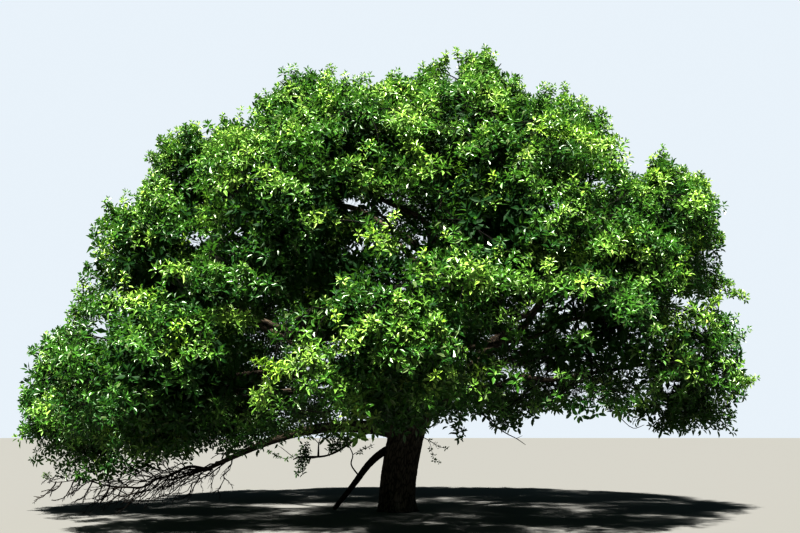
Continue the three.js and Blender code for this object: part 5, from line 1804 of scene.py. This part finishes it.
leaf_pieces = []
for k, (name, code) in enumerate(GREENS.items()):
    surface = INNER_SURFACE if k == INNER else {}
    material = leaf_material(f"{name}_leaf", code, LEAF_GLOW, **surface)
    rosettes, faces = (inner_rosettes, PLAIN_FACES) if k == INNER else (green_rosettes, LEAF_FACES)
    triangles = len(faces) * LEAVES_PER_ROSETTE
    leaf_pieces += leaf_parts(f"leaves_{name}", greens == k, rosettes, material, triangles)
# The pale backs: partly the leaves' own felted undersides, partly painted glints of light
pale = leaf_material(
    "leaf_underside", code="#5c6d47", glow="#7a9a4a", through_share=0.25, roughness=0.8, gloss=0.4,
)
turned = (random.random(len(places)) < TURNED_SHARE) & (greens != INNER)
leaf_pieces += leaf_parts("leaves_turned", turned, turned_leaves, pale, len(LEAF_FACES))

noise.seed_set(PLATE_SEED)
bark = bark_material("plated_bark", plate="#5a5044", crevice="#231d17", lichen="#7a766a")
dead_bark = bark_material("dead_wood", plate="#29231d", crevice="#100d0a", lichen="#47433b")
skin_limbs = [leader, *main_limbs, low_limb]
reaches = {limb.name: SKIN_REACH / limb.path.length for limb in skin_limbs}
reaches[low_limb.name] = LOW_SKIN_REACH / low_limb.path.length


def skin_root(limb):
    """The part of a limb that the skin wraps, drawn in at its end, where its tube carries on."""
    end = reaches[limb.name]

    def radius(share):
        return limb.radius(share) * (1 - SKIN_DRAW_IN * (share / end) ** DRAW_IN_POWER)

    return Spine(limb.path, radius, 0.0, end)


def tube_spine(limb):
    """The rest of a limb, from inside the skin, or the whole of one that springs from another limb."""
    start = max(0, reaches.get(limb.name, 0) - SKIN_OVERLAP / limb.path.length)
    return Spine(limb.path, limb.radius, start)


trunk_skin = new_piece("trunk_skin", skin_mesh("trunk_skin", [skin_root(limb) for limb in skin_limbs]))
inner_spines = [
    Spine(Path(through(points, steps=8)), lambda share, thick=thick, thin=thin: mix(thick, thin, share))
    for thick, thin, *points in INNER_LIMBS
]
bough_tubes = new_piece(
    "bough_bark", bark_tubes("bough_bark", [tube_spine(limb) for limb in limbs] + inner_spines),
)
prop_piece = new_piece("dead_prop_limb", bark_tubes("dead_prop_limb", [Spine(prop.path, prop.radius)]))
dead_spine = Spine(
    Path(through(DEAD_BOUGH, steps=6)),
    lambda share: mix(LOW_LIMB_TIP, DEAD_BOUGH_TIP, share**DEAD_BOUGH_TAPER),
)
dead_bough_piece = new_piece("dead_bough", bark_tubes("dead_bough", [dead_spine]))
dead_twig_piece = grown_piece(
    "dead_twigs", dead_wood().mesh("dead_twigs"), twigs_on_lines, {"Sides": 5, "Material": dead_twig_bark},
)
for piece in (trunk_skin, bough_tubes):
    piece.data.materials.append(bark)
for piece in (prop_piece, dead_bough_piece):
    piece.data.materials.append(dead_bark)
for piece in (dead_bough_piece, dead_twig_piece):
    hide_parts("bare_twigs")
bough_nodes = [limb.name for limb in limbs]
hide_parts("trunk", *[limb.name for limb in skin_limbs])
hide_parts(*bough_nodes)
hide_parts("prop_limb_upper", "prop_limb_lower")

wood_pieces = [
    twig_piece, shoot_piece, trunk_skin, bough_tubes, prop_piece, dead_bough_piece, dead_twig_piece,
]
for piece in leaf_pieces + wood_pieces:
    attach(piece, "root")
foliage_nodes = [f"foliage_{mass.name}" for mass in leafy]
for piece in leaf_pieces:
    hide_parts(*foliage_nodes)

# Floor, light and camera
floor = new_piece("floor", bpy.data.meshes.new("floor"))
floor.data.from_pydata(FLOOR_CORNERS, [], [(0, 1, 2, 3)])
floor_material, floor_tree = new_material("pale_floor")
floor_skin = add(floor_tree, "ShaderNodeBsdfPrincipled", {"Base Color": linear("#555554"), "Roughness": 0.9})
add(floor_tree, "ShaderNodeOutputMaterial", {"Surface": floor_skin.outputs["BSDF"]})
floor.data.materials.append(floor_material)

world = bpy.data.worlds.new("studio")
world.use_nodes = True
bpy.context.scene.world = world
world.node_tree.nodes.clear()
fill = add(world.node_tree, "ShaderNodeBackground", {"Color": linear(FILL_COLOUR), "Strength": FILL_STRENGTH})
backdrop = add(
    world.node_tree, "ShaderNodeBackground",
    {"Color": linear(BACKDROP_COLOUR), "Strength": BACKDROP_STRENGTH},
)
ray = add(world.node_tree, "ShaderNodeLightPath")
sky = add(
    world.node_tree, "ShaderNodeMixShader",
    {"Fac": ray.outputs["Is Camera Ray"], 1: fill.outputs["Background"], 2: backdrop.outputs["Background"]},
)
add(world.node_tree, "ShaderNodeOutputWorld", {"Surface": sky.outputs["Shader"]})
view = bpy.context.scene.view_settings
view.view_transform = "Standard"
view.exposure = EXPOSURE
view.gamma = GAMMA

sun = bpy.data.lights.new("key", "SUN")
sun.energy = SUN_STRENGTH
sun.angle = SUN_WIDTH
sun.color = SUN_COLOUR
key = bpy.data.objects.new("key", sun)
key.rotation_mode = "QUATERNION"
key.rotation_quaternion = Vector(SUN_FROM).to_track_quat("Z", "Y")
bpy.context.scene.collection.objects.link(key)

camera_data = bpy.data.cameras.new("camera")
camera_data.lens = CAMERA_LENS
camera_data.sensor_width = SENSOR_WIDTH
camera_data.clip_end = VIEW_LIMIT
camera = bpy.data.objects.new("camera", camera_data)
camera.location = VIEWPOINT
camera.rotation_euler = (math.pi / 2 + CAMERA_PITCH, 0, 0)
bpy.context.scene.collection.objects.link(camera)
bpy.context.scene.camera = camera
